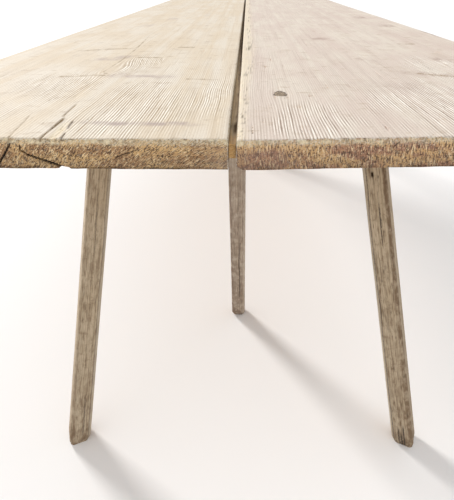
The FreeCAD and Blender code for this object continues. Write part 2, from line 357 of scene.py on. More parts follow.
class NodeGraph:
    """Short-hand for wiring a material's nodes."""

    def __init__(self, name: str) -> None:
        """Starts a material with its shader.

        Args:
            name: the material's name.
        """
        self.material = bpy.data.materials.new(name)
        self.material.use_nodes = True
        self.tree = self.material.node_tree
        self.shader = self.tree.nodes["Principled BSDF"]

    def wire(self, socket: Socket, value: object) -> None:
        """Links an output to a socket, or sets the socket to a plain value."""
        if isinstance(value, Socket):
            self.tree.links.new(value, socket)
        else:
            socket.default_value = value

    def attribute(self, name: str, vector: bool = False) -> Socket:
        """One of the mesh's own attributes."""
        node = self.tree.nodes.new("ShaderNodeAttribute")
        node.attribute_name = name
        return node.outputs["Vector" if vector else "Fac"]

    def maths(self, operation: str, first: object, second: object = 0.0) -> Socket:
        """Arithmetic on two numbers.

        Args:
            operation: Blender's name for it.
            first: an output or a number.
            second: an output or a number.

        Returns:
            The result's output.
        """
        node = self.tree.nodes.new("ShaderNodeMath")
        node.operation = operation
        self.wire(node.inputs[0], first)
        self.wire(node.inputs[1], second)
        return node.outputs[0]

    def times(self, first: object, second: object) -> Socket:
        """Product of two numbers."""
        return self.maths("MULTIPLY", first, second)

    def parts(self, vector: object) -> bpy.types.NodeOutputs:
        """A vector's three numbers."""
        node = self.tree.nodes.new("ShaderNodeSeparateXYZ")
        self.wire(node.inputs[0], vector)
        return node.outputs

    def joined(self, *numbers: object) -> Socket:
        """A vector of three numbers."""
        node = self.tree.nodes.new("ShaderNodeCombineXYZ")
        for socket, number in zip(node.inputs, numbers):
            self.wire(socket, number)
        return node.outputs[0]

    def noise(
        self, vector: object, stretch: Triple, shift: Triple = (0.0, 0.0, 0.0), detail: float = 3.0,
    ) -> Socket:
        """Cloudy noise between 0 and 1.

        Args:
            vector: the coordinates to read it at.
            stretch: what the coordinates are multiplied by.
            shift: what is then added to them.
            detail: how many times finer clouds are added.

        Returns:
            The noise's output.
        """
        place = self.tree.nodes.new("ShaderNodeMapping")
        self.wire(place.inputs["Vector"], vector)
        place.inputs["Scale"].default_value = stretch
        place.inputs["Location"].default_value = shift
        node = self.tree.nodes.new("ShaderNodeTexNoise")
        self.wire(node.inputs["Vector"], place.outputs[0])
        node.inputs["Scale"].default_value = 1.0
        node.inputs["Detail"].default_value = detail
        return node.outputs["Fac"]

    def between(
        self, value: object, low: float, high: float, start: float = 0.0, end: float = 1.0,
    ) -> Socket:
        """Eased change from start to end while a value goes from low to high.

        Args:
            value: the output to read.
            low: where the change begins.
            high: where the change is over.
            start: the result below low.
            end: the result above high.

        Returns:
            The eased output.
        """
        node = self.tree.nodes.new("ShaderNodeMapRange")
        node.interpolation_type = "SMOOTHSTEP"
        for number, item in enumerate((value, low, high, start, end)):
            self.wire(node.inputs[number], item)
        return node.outputs[0]

    def blend(self, share: object, first: object, second: object, mode: str = "MIX") -> Socket:
        """Mix of two colours.

        Args:
            share: how much of the second one, as an output or a number.
            first: an output or a colour.
            second: an output or a colour.
            mode: Blender's name for the way of mixing.

        Returns:
            The mixed colour's output.
        """
        node = self.tree.nodes.new("ShaderNodeMix")
        node.data_type = "RGBA"
        node.blend_type = mode
        node.clamp_factor = True
        self.wire(node.inputs["Factor"], share)
        for socket, item in zip((node.inputs[6], node.inputs[7]), (first, second)):
            self.wire(socket, item if isinstance(item, Socket) else (*item, 1.0))
        return node.outputs[2]

    def laid(self, colour: object, second: object, vector: object, layer: Layer) -> tuple[Socket, Socket]:
        """Lays a second colour over a first one where a layer's noise is high.

        Args:
            colour: the first colour.
            second: the one over it.
            vector: the coordinates to read the noise at.
            layer: the noise, and how it lets the second colour through.

        Returns:
            The mixed colour's output, and the noise's.
        """
        noise = self.noise(vector, layer.stretch, layer.shift, layer.detail)
        share = self.between(noise, *layer.levels, 0.0, layer.share)
        return self.blend(share, colour, second), noise

    def bump(self, height: object, strength: float, distance: float, under: object = None) -> Socket:
        """Normal tilted by a height.

        Args:
            height: the output that gives the height.
            strength: share of the full effect.
            distance: height in metres that a value of 1 stands for.
            under: an earlier normal to add to.

        Returns:
            The normal's output.
        """
        node = self.tree.nodes.new("ShaderNodeBump")
        node.inputs["Strength"].default_value = strength
        node.inputs["Distance"].default_value = distance
        self.wire(node.inputs["Height"], height)
        if under is not None:
            self.wire(node.inputs["Normal"], under)
        return node.outputs[0]


@dataclass(frozen=True)
class WoodFinish:
    """Bare wood with growth-ring lines, fibres, weathering, grime, painted shade and a painted highlight
    on the ring crests.

    The mesh gives a vector "wood" (across, through, along the grain) and the running number of
    the growth ring in "ring". Shares from 0 to 1 are "grain" (how far the rings stand out),
    "bleach" (scrubbed face against raw end), "dirt_and_shade" (grime, and painted shade in gaps and
    along edges), "pale" (freshly broken wood) and "stain_and_shade" (stains, and on the legs a
    painted shade on one chamfer).
    The vector "crack" is the distance from a split in half widths, the split's strength and its
    share of brown bruise, and "knot" is a place in a knot's own half sizes and its strength.
    """

    name: str
    face: Colour
    groove: Colour
    face_patch: Colour
    raw: Colour
    raw_dark: Colour
    raw_patch: Colour
    # Crest colour: bleached wood, partly a painted highlight on each raised ring.
    ridge: Colour = (0.97, 0.93, 0.84)
    blotch: Colour = (0.45, 0.345, 0.24)
    raw_light: Colour = (0.72, 0.54, 0.32)
    # Colour of grime, and of painted shade in gaps and along edges.
    dirt_and_shade: Colour = (0.035, 0.022, 0.014)
    pale: Colour = (0.86, 0.74, 0.50)
    # Colour of stains, and of the painted shade on a leg's dark chamfer.
    stain_and_shade: Colour = (0.42, 0.33, 0.29)
    knot: Colour = (0.37, 0.275, 0.175)
    knot_dark: Colour = (0.12, 0.085, 0.055)
    bruise: Colour = (0.33, 0.235, 0.13)
    line_strength: float = 0.95
    blotchiness: float = 0.25
    fibre_contrast: float = 0.35
    spot_scale: Triple = (24.0, 24.0, 17.0)
    streak_scale: Triple = (330.0, 330.0, 7.0)
    dent_scale: Triple = (36.0, 36.0, 60.0)
    stroke_length: float = 4.0 * MM
    knot_bluntness: float = 2.6
    roughness: float = 0.72

    @cache
    def material(self) -> bpy.types.Material:
        """Wires the wood, once for each finish.

        Returns:
            The material.
        """
        graph = NodeGraph(self.name)
        wood = graph.attribute("wood", vector=True)
        face, line = self.face_colour(graph, wood)
        raw, crumb = self.raw_colour(graph, wood)
        fleck = graph.noise(wood, (620.0, 620.0, 300.0), (1.3, 4.1, 0.7))
        fleck = graph.between(fleck, 0.36, 0.64, -0.36, 0.36)
        bleach = graph.between(graph.maths("ADD", graph.attribute("bleach"), fleck), 0.20, 0.80)
        colour = graph.blend(bleach, raw, face)
        colour = graph.blend(graph.attribute("pale"), colour, self.pale)
        colour = self.marked(graph, wood, colour)
        graph.wire(graph.shader.inputs["Base Color"], colour)
        fibre = graph.noise(wood, (1400.0, 1400.0, 30.0), detail=2.0)
        normal = graph.bump(fibre, 0.35, 0.0004)
        crumb = graph.times(crumb, graph.between(bleach, 0.0, 1.0, 1.0, 0.15))
        graph.wire(graph.shader.inputs["Normal"], graph.bump(crumb, 0.8, 0.0012, normal))
        shine = graph.between(line, 0.0, 1.0, self.roughness + 0.08, self.roughness - 0.08)
        graph.wire(graph.shader.inputs["Roughness"], shine)
        gloss = graph.between(graph.attribute("dirt_and_shade"), 0.2, 0.8, 0.6, 0.02)
        graph.wire(graph.shader.inputs["Specular IOR Level"], gloss)
        return graph.material

    def face_colour(self, graph: NodeGraph, wood: Socket) -> tuple[Socket, ...]:
        """Scrubbed face: each ring goes from a pale crest, bleached wood with a painted highlight on the
        raised ridge, to a tan line, where the grain stands out.

        Args:
            graph: the material's graph.
            wood: the grain's coordinates.

        Returns:
            The face's colour, and the share of the tan line in it.
        """
        jitter = graph.noise(wood, (420.0, 420.0, 11.0), detail=2.0)
        ring = graph.maths("ADD", graph.attribute("ring"), graph.times(jitter, 0.8))
        phase = graph.maths("FRACT", ring)
        line = graph.times(graph.between(phase, 0.42, 0.68), graph.between(phase, 0.80, 0.96, 1.0, 0.0))
        # Pale crest on the raised part of each ring: bleached wood, partly a painted highlight.
        crest = graph.times(graph.between(phase, 0.02, 0.10), graph.between(phase, 0.22, 0.45, 1.0, 0.0))
        year = graph.tree.nodes.new("ShaderNodeTexWhiteNoise")
        year.noise_dimensions = "1D"
        graph.wire(year.inputs["W"], graph.maths("FLOOR", ring))
        faint, strong = 0.45 * self.line_strength, self.line_strength
        strength = graph.between(year.outputs["Value"], 0.0, 1.0, faint, strong)
        strength = graph.times(graph.attribute("grain"), strength)
        broken = graph.noise(wood, (260.0, 260.0, 38.0), (2.2, 0.0, 5.1), 2.0)
        strength = graph.times(strength, graph.between(broken, 0.32, 0.52, 0.45, 1.0))
        line = graph.times(line, strength)
        face = self.face
        for colour, layer in (
            (self.face_patch, Layer((15.0, 15.0, 5.5), (0.38, 0.64), 0.6, (3.1, 1.7, 0.4))),
            (self.face_patch, Layer((48.0, 48.0, 0.9), (0.42, 0.66), 0.55, (0.6, 2.0, 8.3))),
            (self.blotch, Layer(self.spot_scale, (0.52, 0.76), self.blotchiness, (7.3, 0.0, 2.9), 4.0)),
            (self.blotch, Layer(self.dent_scale, (0.57, 0.72), 0.5, (1.1, 3.0, 6.4))),
            (self.groove, Layer(self.streak_scale, (0.50, 0.70), self.fibre_contrast)),
        ):
            face, _ = graph.laid(face, colour, wood, layer)
        face = graph.blend(graph.times(crest, strength), face, self.ridge)
        return graph.blend(line, face, self.groove), line

    def raw_colour(self, graph: NodeGraph, wood: Socket) -> tuple[Socket, ...]:
        """Raw wood at the ends and undersides: ring lines, broken up by pale crumbs and dark pores.

        Args:
            graph: the material's graph.
            wood: the grain's coordinates.

        Returns:
            The raw wood's colour, and the crumbs that roughen it.
        """
        _, through, along = graph.parts(wood)
        rings = graph.joined(graph.attribute("ring"), through, along)
        pace = 1 / self.stroke_length
        patch = Layer((26.0, 75.0, 12.0), (0.42, 0.58))
        stroke = Layer((1.9, pace, 30.0), (0.52, 0.63), 0.85, detail=5.0)
        hatch = Layer((2.6, 1.3 * pace, 30.0), (0.50, 0.60), 0.85, (4.0, 0.0, 9.0), 5.0)
        pore = Layer((620.0, 620.0, 90.0), (0.56, 0.64), 0.95, (5.0, 2.0, 0.0))
        crumb = Layer((640.0, 560.0, 120.0), (0.60, 0.72), 0.6, detail=4.0)
        raw, _ = graph.laid(self.raw, self.raw_patch, wood, patch)
        raw, strokes = graph.laid(raw, self.raw_light, rings, stroke)
        raw, _ = graph.laid(raw, self.raw_dark, rings, hatch)
        raw, pores = graph.laid(raw, self.raw_dark, wood, pore)
        raw, _ = graph.laid(raw, self.raw_light, wood, crumb)
        return raw, graph.maths("SUBTRACT", strokes, pores)

    def marked(self, graph: NodeGraph, wood: Socket, colour: Socket) -> Socket:
        """Wood with its stains, knots, cracks, grime and painted shade, including painted shade beside
        each crack.

        Args:
            graph: the material's graph.
            wood: the grain's coordinates.
            colour: the clean wood.

        Returns:
            The marked colour.
        """
        cloud = graph.noise(wood, (90.0, 90.0, 60.0), detail=4.0)
        stain_and_shade = graph.times(graph.attribute("stain_and_shade"), graph.between(cloud, 0.34, 0.60, 0.35, 1.0))
        colour = graph.blend(stain_and_shade, colour, self.stain_and_shade)
        across, along, inside = graph.parts(graph.attribute("knot", vector=True))
        along = graph.maths("MAXIMUM", along, graph.times(along, -self.knot_bluntness))
        square = graph.maths("ADD", graph.times(across, across), graph.times(along, along))
        rough = graph.noise(wood, (500.0, 500.0, 260.0))
        ragged = graph.between(rough, 0.3, 0.7, -0.12, 0.12)
        reach = graph.maths("ADD", graph.maths("SQRT", square), ragged)
        core = graph.blend(graph.between(rough, 0.38, 0.62), self.knot, self.knot_dark)
        core = graph.blend(graph.between(reach, 0.62, 0.92), core, self.knot_dark)
        within = graph.times(inside, graph.between(reach, 0.92, 1.08, 1.0, 0.0))
        colour = graph.blend(within, colour, core)
        side, strength, brown = graph.parts(graph.attribute("crack", vector=True))
        broken = graph.times(brown, graph.between(cloud, 0.40, 0.56, 0.25, 1.0))
        whole = graph.maths("SUBTRACT", 1.0, brown)
        strength = graph.times(strength, graph.maths("ADD", broken, whole))
        frayed = graph.between(rough, 0.3, 0.7, -0.45, 0.45)
        gap = graph.maths("ADD", graph.maths("ABSOLUTE", side), frayed)
        shade = graph.times(strength, graph.between(gap, 0.8, 3.2, 0.45, 0.0))
        colour = graph.blend(shade, colour, graph.blend(brown, self.raw_dark, self.bruise))
        split = graph.times(strength, graph.between(gap, 0.55, 1.15, 1.0, 0.0))
        colour = graph.blend(split, colour, graph.blend(brown, self.dirt_and_shade, self.bruise))
        # Grime and painted shade from the mesh's marks.
        return graph.blend(graph.attribute("dirt_and_shade"), colour, self.dirt_and_shade)


SCRUBBED_LEFT = WoodFinish(
    "scrubbed_left_plank",
    face=(0.725, 0.65, 0.54), groove=(0.31, 0.205, 0.105), face_patch=(0.66, 0.54, 0.385),
    raw=(0.63, 0.39, 0.165), raw_dark=(0.075, 0.036, 0.015), raw_patch=(0.40, 0.22, 0.095),
    raw_light=(0.88, 0.655, 0.375), fibre_contrast=0.15,
)
SCRUBBED_RIGHT = WoodFinish(
    "scrubbed_right_plank",
    face=(0.715, 0.635, 0.54), groove=(0.25, 0.17, 0.115), face_patch=(0.625, 0.51, 0.44),
    raw=(0.63, 0.385, 0.17), raw_dark=(0.085, 0.04, 0.02), raw_patch=(0.40, 0.205, 0.115),
    raw_light=(0.87, 0.64, 0.38), stain_and_shade=(0.29, 0.17, 0.125), fibre_contrast=0.15,
    stroke_length=8.0 * MM,
)
# The strip's marks paint the shade of the narrow gap onto this finish.
DUSTY_SHADED_STRIP = WoodFinish(
    "dusty_shaded_strip",
    face=(0.43, 0.295, 0.15), groove=(0.12, 0.075, 0.038), face_patch=(0.35, 0.235, 0.115),
    raw=(0.46, 0.28, 0.10), raw_dark=(0.16, 0.085, 0.03), raw_patch=(0.50, 0.31, 0.13),
    ridge=(0.42, 0.31, 0.18), blotch=(0.12, 0.08, 0.045), stain_and_shade=(0.50, 0.27, 0.085), fibre_contrast=0.8,
)
GREY_POLE = WoodFinish(
    "grey_pole",
    face=(0.59, 0.475, 0.33), groove=(0.16, 0.10, 0.048), face_patch=(0.46, 0.35, 0.22),
    raw=(0.34, 0.24, 0.14), raw_dark=(0.08, 0.05, 0.027), raw_patch=(0.25, 0.17, 0.09),
    ridge=(0.60, 0.49, 0.35), blotch=(0.22, 0.145, 0.08), pale=(0.50, 0.445, 0.36),
    stain_and_shade=(0.17, 0.10, 0.048), line_strength=0.6, blotchiness=0.5, fibre_contrast=0.8,
    spot_scale=(70.0, 70.0, 26.0), streak_scale=(420.0, 420.0, 42.0), dent_scale=(110.0, 110.0, 170.0),
)
ASHEN_POLE = replace(
    GREY_POLE, name="ashen_pole",
    face=(0.575, 0.475, 0.375), groove=(0.165, 0.112, 0.07), face_patch=(0.455, 0.36, 0.265),
    stain_and_shade=(0.185, 0.122, 0.08), blotch=(0.225, 0.16, 0.11),
)
HEWN_TIMBER = WoodFinish(
    "hewn_timber",
    face=(0.40, 0.29, 0.19), groove=(0.18, 0.115, 0.065), face_patch=(0.33, 0.225, 0.14),
    raw=(0.34, 0.225, 0.13), raw_dark=(0.11, 0.065, 0.035), raw_patch=(0.27, 0.17, 0.095),
    ridge=(0.46, 0.35, 0.24), blotch=(0.20, 0.13, 0.08), line_strength=0.7,
)
SAWN_BATTEN = WoodFinish(
    "sawn_batten",
    face=(0.44, 0.315, 0.195), groove=(0.22, 0.14, 0.075), face_patch=(0.37, 0.25, 0.145),
    raw=(0.36, 0.235, 0.13), raw_dark=(0.13, 0.075, 0.04), raw_patch=(0.30, 0.185, 0.10),
    ridge=(0.50, 0.38, 0.25), blotch=(0.24, 0.155, 0.09), line_strength=0.7,
)
CLEFT_PEG = WoodFinish(
    "cleft_peg",
    face=(0.44, 0.305, 0.175), groove=(0.24, 0.145, 0.075), face_patch=(0.38, 0.25, 0.135),
    raw=(0.42, 0.28, 0.15), raw_dark=(0.16, 0.09, 0.045), raw_patch=(0.33, 0.205, 0.105),
    ridge=(0.50, 0.37, 0.23), blotch=(0.24, 0.15, 0.08), line_strength=0.7,
)


@dataclass(frozen=True)
class Swirl:
    """Place where the grain parts round a knot or wavers."""

    x: float
    y: float
    push: float
    half_width: float
    half_length: float


@dataclass(frozen=True)
class Patch:
    """Oval place where the grain stands out."""

    x: float
    y: float
    half_width: float
    half_length: float


@dataclass(frozen=True)
class Grain:
    """How the growth rings run through a board."""

    first_pitch: float
    last_pitch: float
    leans: Point
    sway: float
    seed: int
    swirls: tuple[Swirl, ...] = ()
    patches: tuple[Patch, ...] = ()

    def standing(self, x: Array, y: Array) -> Array:
        """How far the rings stand out: a slow noise, less where use has worn the board smooth.

        In the patches it is raised to 1.

        Args:
            x: places across the table.
            y: places along it.

        Returns:
            Shares from 0 to 1.
        """
        noise = SmoothNoise(self.seed + 1)
        kept = 1 - 0.75 * ease(-1.15, -0.85, y) * (1 - ease(0.1, 0.8, y))
        share = kept * (0.16 + 0.32 * ease(-0.1, 0.6, noise.rough(x / 0.06, y / 0.25)))
        ragged = 0.45 * noise.rough(x / 0.018, y / 0.05)
        for patch in self.patches:
            reach = np.hypot((x - patch.x) / patch.half_width, (y - patch.y) / patch.half_length)
            share = np.maximum(share, 1 - ease(0.55, 1.25, reach + ragged))
        return share

    def rings(self, x: Array, y: Array, depth: Array, width: float) -> Array:
        """Running number of the ring at each place.

        The place across the board, shifted by the depth times a lean that grows over the width,
        by a slow sway along the board and by the swirls, is divided into rings whose pitch changes
        evenly over the width: the logarithm is the sum of such steps.

        Args:
            x: places across, from the board's first edge.
            y: places along.
            depth: depths below the top face.
            width: the board's width.

        Returns:
            Ring numbers with their fractions.
        """
        noise = SmoothNoise(self.seed)
        lean = self.leans[0] + (self.leans[1] - self.leans[0]) * np.clip(x / width, 0.0, 1.0) ** 2
        across = x + lean * depth + self.sway * noise.at(y / 0.45, x / 0.30)
        across = across + 0.12 * self.sway * noise.at(y / 0.06 + 40.0, x / 0.05)
        for swirl in self.swirls:
            share = (x - swirl.x) / swirl.half_width
            fade = np.exp(-((y - swirl.y) / swirl.half_length) ** 2 - share**2)
            across = across - swirl.push * np.tanh(2.0 * share) * fade
        growth = (self.last_pitch - self.first_pitch) / width
        return np.log(np.maximum(1.0 + growth * across / self.first_pitch, 0.05)) / growth


@dataclass(frozen=True)
class Crack:
    """Split along a bent line: on the near end its corners are X and Z, on the top X and Y.

    Its half width goes evenly from the first number to the second. A bruise is a shallow one
    that is brown instead of dark.
    """

    corners: tuple[Point, ...]
    half_widths: Point
    depth: float
    strength: float = 1.0
    bruise: bool = False

    def opening(self, u: Array, v: Array) -> tuple[Array, Array]:
        """Distance from the split's middle, and how open it is, which fades at both ends.

        Args:
            u: first coordinates.
            v: second coordinates.

        Returns:
            Distances in half widths, with a sign for the side, and shares from 0 to 1.
        """
        gap, along, side = line_distance(u, v, self.corners)
        first, last = self.half_widths
        ends = ease(0.0, 0.08, along) * (1 - ease(0.85, 1.0, along))
        return side * gap / (first + (last - first) * along), self.strength * ends


def crack_marks(cracks: tuple[Crack, ...], u: Array, v: Array) -> tuple[Array, Array]:
    """The nearest split's mark at each place, and how deep the splits cut there.

    Args:
        cracks: the splits.
        u: first coordinates.
        v: second coordinates.

    Returns:
        Vectors of signed distance, strength and bruise for the materials, and depths in metres.
    """
    marks = np.zeros((*np.broadcast(u, v).shape, 3))
    marks[..., 0] = FAR_FROM_CRACK
    depth = np.zeros(marks.shape[:-1])
    for crack in cracks:
        across, strength = crack.opening(u, v)
        across = np.clip(across, -FAR_FROM_CRACK, FAR_FROM_CRACK)
        nearer = np.abs(across) < np.abs(marks[..., 0])
        marks[..., 0] = np.where(nearer, across, marks[..., 0])
        marks[..., 1] = np.where(nearer, strength, marks[..., 1])
        marks[..., 2] = np.where(nearer, float(crack.bruise), marks[..., 2])
        depth = np.maximum(depth, crack.depth * strength * (1 - ease(0.2, 1.3, np.abs(across))))
    return marks, depth


@dataclass(frozen=True)
class Trace:
    """Stain or pale scar along a bent line on the top, fading to its sides; only scars have depth."""

    corners: tuple[Point, ...]
    half_width: float
    strength: float
    depth: float = 0.0


@dataclass(frozen=True)
class Chip:
    """Place where the lower edge of a plank's near end is broken away."""

    x: float
    half_width: float
    depth: float


@dataclass(frozen=True)
class Knot:
    """Oval knot in the top face, a little proud of it, with a shallow moat round it."""

    x: float
    y: float
    half_width: float
    half_length: float
    crown: float = 0.4 * MM
    moat: float = 0.5 * MM


@dataclass
class Plank:
    """One of the two boards of the top, a closed skin that is fine on its top and near end."""

    node: str
    grain: Grain
    finish: WoodFinish
    seed: int
    end_cracks: tuple[Crack, ...] = ()
    top_cracks: tuple[Crack, ...] = ()
    stains: tuple[Trace, ...] = ()
    scars: tuple[Trace, ...] = ()
    knots: tuple[Knot, ...] = ()
    chips: tuple[Chip, ...] = ()
    sap_width: float = 0.0
    column_group: int = 8
    column_pitch: float = 0.8 * MM
    stations: int = 84
    near_rows: int = 26
    across_steps: tuple[float, ...] = (0.0, 0.3, 0.8, 1.5, 2.4, 3.5, 5.0)
    along_steps: tuple[float, ...] = (0.0, 0.3, 0.8, 1.5, 2.4, 3.6, 5.2)
    first_run: float = 60.0 * MM
    arris: float = 3.0 * MM
    ridge: float = 0.32 * MM
    waves: float = 0.4 * MM
    dent_depth: float = 0.5 * MM
    saw_depth: float = 0.35 * MM
    foot_arris: float = 0.5 * MM
    foot_wear: float = 0.4 * MM
    foot_reach: float = 14.0 * MM
    foot_setback: float = 1.2 * MM

    def __post_init__(self) -> None:
        """Reads the plank's corners from the frame."""
        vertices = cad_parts[self.node].data.vertices
        places = np.empty(3 * len(vertices))
        vertices.foreach_get("co", places)
        places = places.reshape(-1, 3)
        low, high = places.min(0), places.max(0)
        self.left, self.right = low[0], high[0]
        self.under, self.top = low[2], high[2]
        self.width = self.right - self.left
        middle = places[:, 1].mean()
        self.end_lines: dict[End, tuple[float, float]] = {}
        for end in End:
            reach = end.value * (places[:, 1] - middle)
            corners = []
            for edge in (self.left, self.right):
                near_edge = np.abs(places[:, 0] - edge) < 0.05 * MM
                corners.append(middle + end.value * reach[near_edge].max())
            self.end_lines[end] = tuple(corners)
        self.noise = SmoothNoise(self.seed)

    def end_place(self, end: End, x: Array) -> Array:
        """Y of an end's straight cut at places across the plank."""
        start, stop = self.end_lines[end]
        return start + (stop - start) * (x - self.left) / self.width

    def columns(self) -> Array:
        """Places across: close steps round each long arris and even steps between.

        Returns:
            X of each column, their count one more than a multiple of the column group.
        """
        edge = np.array(self.across_steps) * MM
        groups = round((self.width / self.column_pitch - 2 * len(edge)) / self.column_group)
        even = groups * self.column_group + 1 - 2 * len(edge)
        inner = np.linspace(edge[-1], self.width - edge[-1], even + 2)[1:-1]
        return self.left + np.concatenate((edge, inner, self.width - edge[::-1]))

    def station_shares(self) -> Array:
        """Places along, in shares of the length.

        The steps grow by a constant factor away from the near end, with close ones at both ends.

        Returns:
            Shares from 0 at the near end to 1 at the far end.
        """
        length = self.end_lines[End.FAR][0] - self.end_lines[End.NEAR][0]
        edge = np.array(self.along_steps) * MM / length
        start = self.first_run / length
        growth = math.log(1 + 1 / start)
        run = start * (np.exp(growth * np.linspace(0, 1, self.stations)) - 1)
        inner = edge[-1] + (1 - 2 * edge[-1]) * run[1:-1]
        return np.concatenate((edge, inner, 1 - edge[::-1]))

    def wear(self, x: Array, end: End) -> Array:
        """Radius of the worn arris along an end, larger in chipped spots.

        Args:
            x: places across.
            end: which end.

        Returns:
            Radii in metres.
        """
        shift = 7.0 * end.value
        broad = self.noise.rough(x / 0.045 + shift, np.full_like(x, 3.3 + shift))
        fine = self.noise.rough(x / 0.006 + shift, np.full_like(x, 9.1))
        return self.arris * (1.0 + 0.4 * broad + 1.1 * np.maximum(fine, 0.0))

    def top_height(self, x: Array, y: Array, ring: Array) -> tuple[Array, Marks]:
        """Height of the scrubbed face over the CAD face, and the marks on it.

        Each ring's late wood stands up as a ridge, the face wavers slowly, and cracks, scars
        and knots are cut in along their lines.

        Args:
            x: places across.
            y: places along.
            ring: ring numbers there.

        Returns:
            Heights; and shares of dirt, pale wood, stain and grain, with the cracks and knots.
        """
        phase = ring - np.floor(ring)
        late = ease(0.30, 0.72, phase) * (1 - ease(0.78, 0.98, phase))
        grain = self.grain.standing(x, y)
        height = self.ridge * (0.25 + 0.75 * grain) * (0.5 - late)
        height = height + self.waves * self.noise.rough(x / 0.12 + 31.0, y / 0.5)
        dents = self.noise.at(x / 0.006 + 3.0, y / 0.02 + 11.0)
        height = height - self.dent_depth * ease(0.72, 0.95, dents)
        waver = 0.5 * MM * self.noise.rough(x / 0.01, y / 0.02)
        marks = {key: np.zeros_like(height) for key in ("dirt_and_shade", "pale", "stain_and_shade")}
        marks["grain"] = grain
        marks["crack"], depth = crack_marks(self.top_cracks, x + waver, y)
        height = height - depth
        for scar in self.scars:
            gap, along, _ = line_distance(x, y, scar.corners)
            rough = 0.75 + 0.6 * self.noise.rough(x / 0.003, y / 0.014)
            cut = np.clip((1 - ease(0.4, 1.0, gap / scar.half_width)) * rough, 0.0, 1.0)
            cut = cut * (1 - ease(0.8, 1.0, along))
            height = height - scar.depth * cut
            marks["pale"] = np.maximum(marks["pale"], scar.strength * cut)
        for stain_and_shade in self.stains:
            ragged = 0.5 * stain_and_shade.half_width * self.noise.rough(x / 0.02, y / 0.01)
            gap, along, _ = line_distance(x, y + ragged, stain_and_shade.corners)
            ends = ease(0.0, 0.2, along) * (1 - ease(0.75, 1.0, along))
            share = (1 - ease(0.1, 1.0, gap / stain_and_shade.half_width)) * ends
            marks["stain_and_shade"] = np.maximum(marks["stain_and_shade"], stain_and_shade.strength * share)
        marks["knot"] = np.zeros((*height.shape, 3))
        for knot in self.knots:
            across, along = (x - knot.x) / knot.half_width, (y - knot.y) / knot.half_length
            reach = np.hypot(across, along)
            height = height + knot.crown * (1 - ease(0.6, 1.0, reach))
            height = height - knot.moat * np.exp(-(((reach - 1.0) / 0.2) ** 2))
            own = np.stack((across, along, np.ones_like(reach)), axis=-1)
            marks["knot"] = np.where((reach < 4.0)[..., None], own, marks["knot"])
        sap, holes = self.sapwood(x, y)
        marks["pale"] = np.maximum(marks["pale"], 0.55 * sap)
        marks["dirt_and_shade"] = np.maximum(marks["dirt_and_shade"], 0.8 * sap * holes)
        return height, marks

    def sapwood(self, x: Array, y: Array) -> tuple[Array, Array]:
        """The pale strip of sapwood along the plank's first edge, and the worm holes in it.

        Args:
            x: places across.
            y: places along.

        Returns:
            Shares of sapwood and of holes.
        """
        if not self.sap_width:
            none = np.zeros(np.broadcast(x, y).shape)
            return none, none
        wide = self.sap_width * (1 + 1.2 * ease(-1.25, -0.8, y))
        across = (x - self.left) / wide + 0.25 * self.noise.rough(y / 0.02, x / 0.006)
        holes = ease(0.35, 0.6, self.noise.at(x / 0.0019 + 5.0, y / 0.0052)) * ease(0.1, 0.6, across)
        fibres = 0.7 + 0.5 * self.noise.rough(x / 0.002, y / 0.02)
        return (1 - ease(0.45, 1.5, across)) * np.clip(fibres, 0.0, 1.0), holes

    def arris_flecks(self, x: Array, depth: Array) -> tuple[Array, Array]:
        """Pale splinters and dark nicks in the broken arris of an end.

        Args:
            x: places across.
            depth: depths below the top face.

        Returns:
            Shares of pale wood and of dirt.
        """
        ragged = depth + 2.5 * MM * self.noise.rough(x / 0.012 + 71.0, depth / 0.01)
        band = ease(0.3 * MM, 1.2 * MM, depth) * (1 - ease(3.0 * MM, 7.5 * MM, ragged))
        tufts = ease(-0.5, 0.3, self.noise.at(x / 0.03 + 8.0, np.full_like(x, 4.4)))
        tufts = np.maximum(tufts, ease(0.085, 0.070, np.abs(x + 0.025)))
        pale = ease(0.05, 0.40, self.noise.rough(x / 0.0042 + 17.0, depth / 0.003)) * tufts
        pale = 0.38 + 0.62 * pale
        dark = ease(0.15, 0.5, self.noise.rough(x / 0.0036 + 91.0, depth / 0.0024))
        return 0.75 * band * pale, 0.35 * band * dark

    def end_recess(self, end: End, x: Array, z: Array) -> tuple[Array, Marks]:
        """How far the sawn end lies behind its straight cut, and the marks on it.

        Saw strokes, torn fibres and, on the near end, cracks with a V-shaped section. The marks also hold
        painted shade along the bottom rim, and grime with painted shade in the deepest torn pits.

        Args:
            end: which end.
            x: places across.
            z: heights.

        Returns:
            Recesses in metres, and the marks.
        """
        shift = 13.0 * end.value
        torn = self.noise.rough(x / 0.0035 + shift, z / 0.0028)
        broad = self.noise.rough(x / 0.05 + shift, z / 0.03)
        strokes = self.noise.at(x / 0.05 + z / 0.012, z / 0.0016 + shift)
        recess = 0.6 * MM * torn + 0.8 * MM * broad + 0.3 * MM * strokes + 0.9 * MM
        depth = self.top - z
        pale, dirt_and_shade = self.arris_flecks(x, depth)
        # Painted shade: a dark line along the bottom rim, under the rounded foot arris.
        rim = ease(25.5 * MM, 29.0 * MM, depth) * ease(-0.8, 0.4, self.noise.rough(x / 0.02, z / 0.004))
        lower = ease(10.0 * MM, 26.0 * MM, depth + 7.0 * MM * broad) * (0.8 + 0.5 * torn)
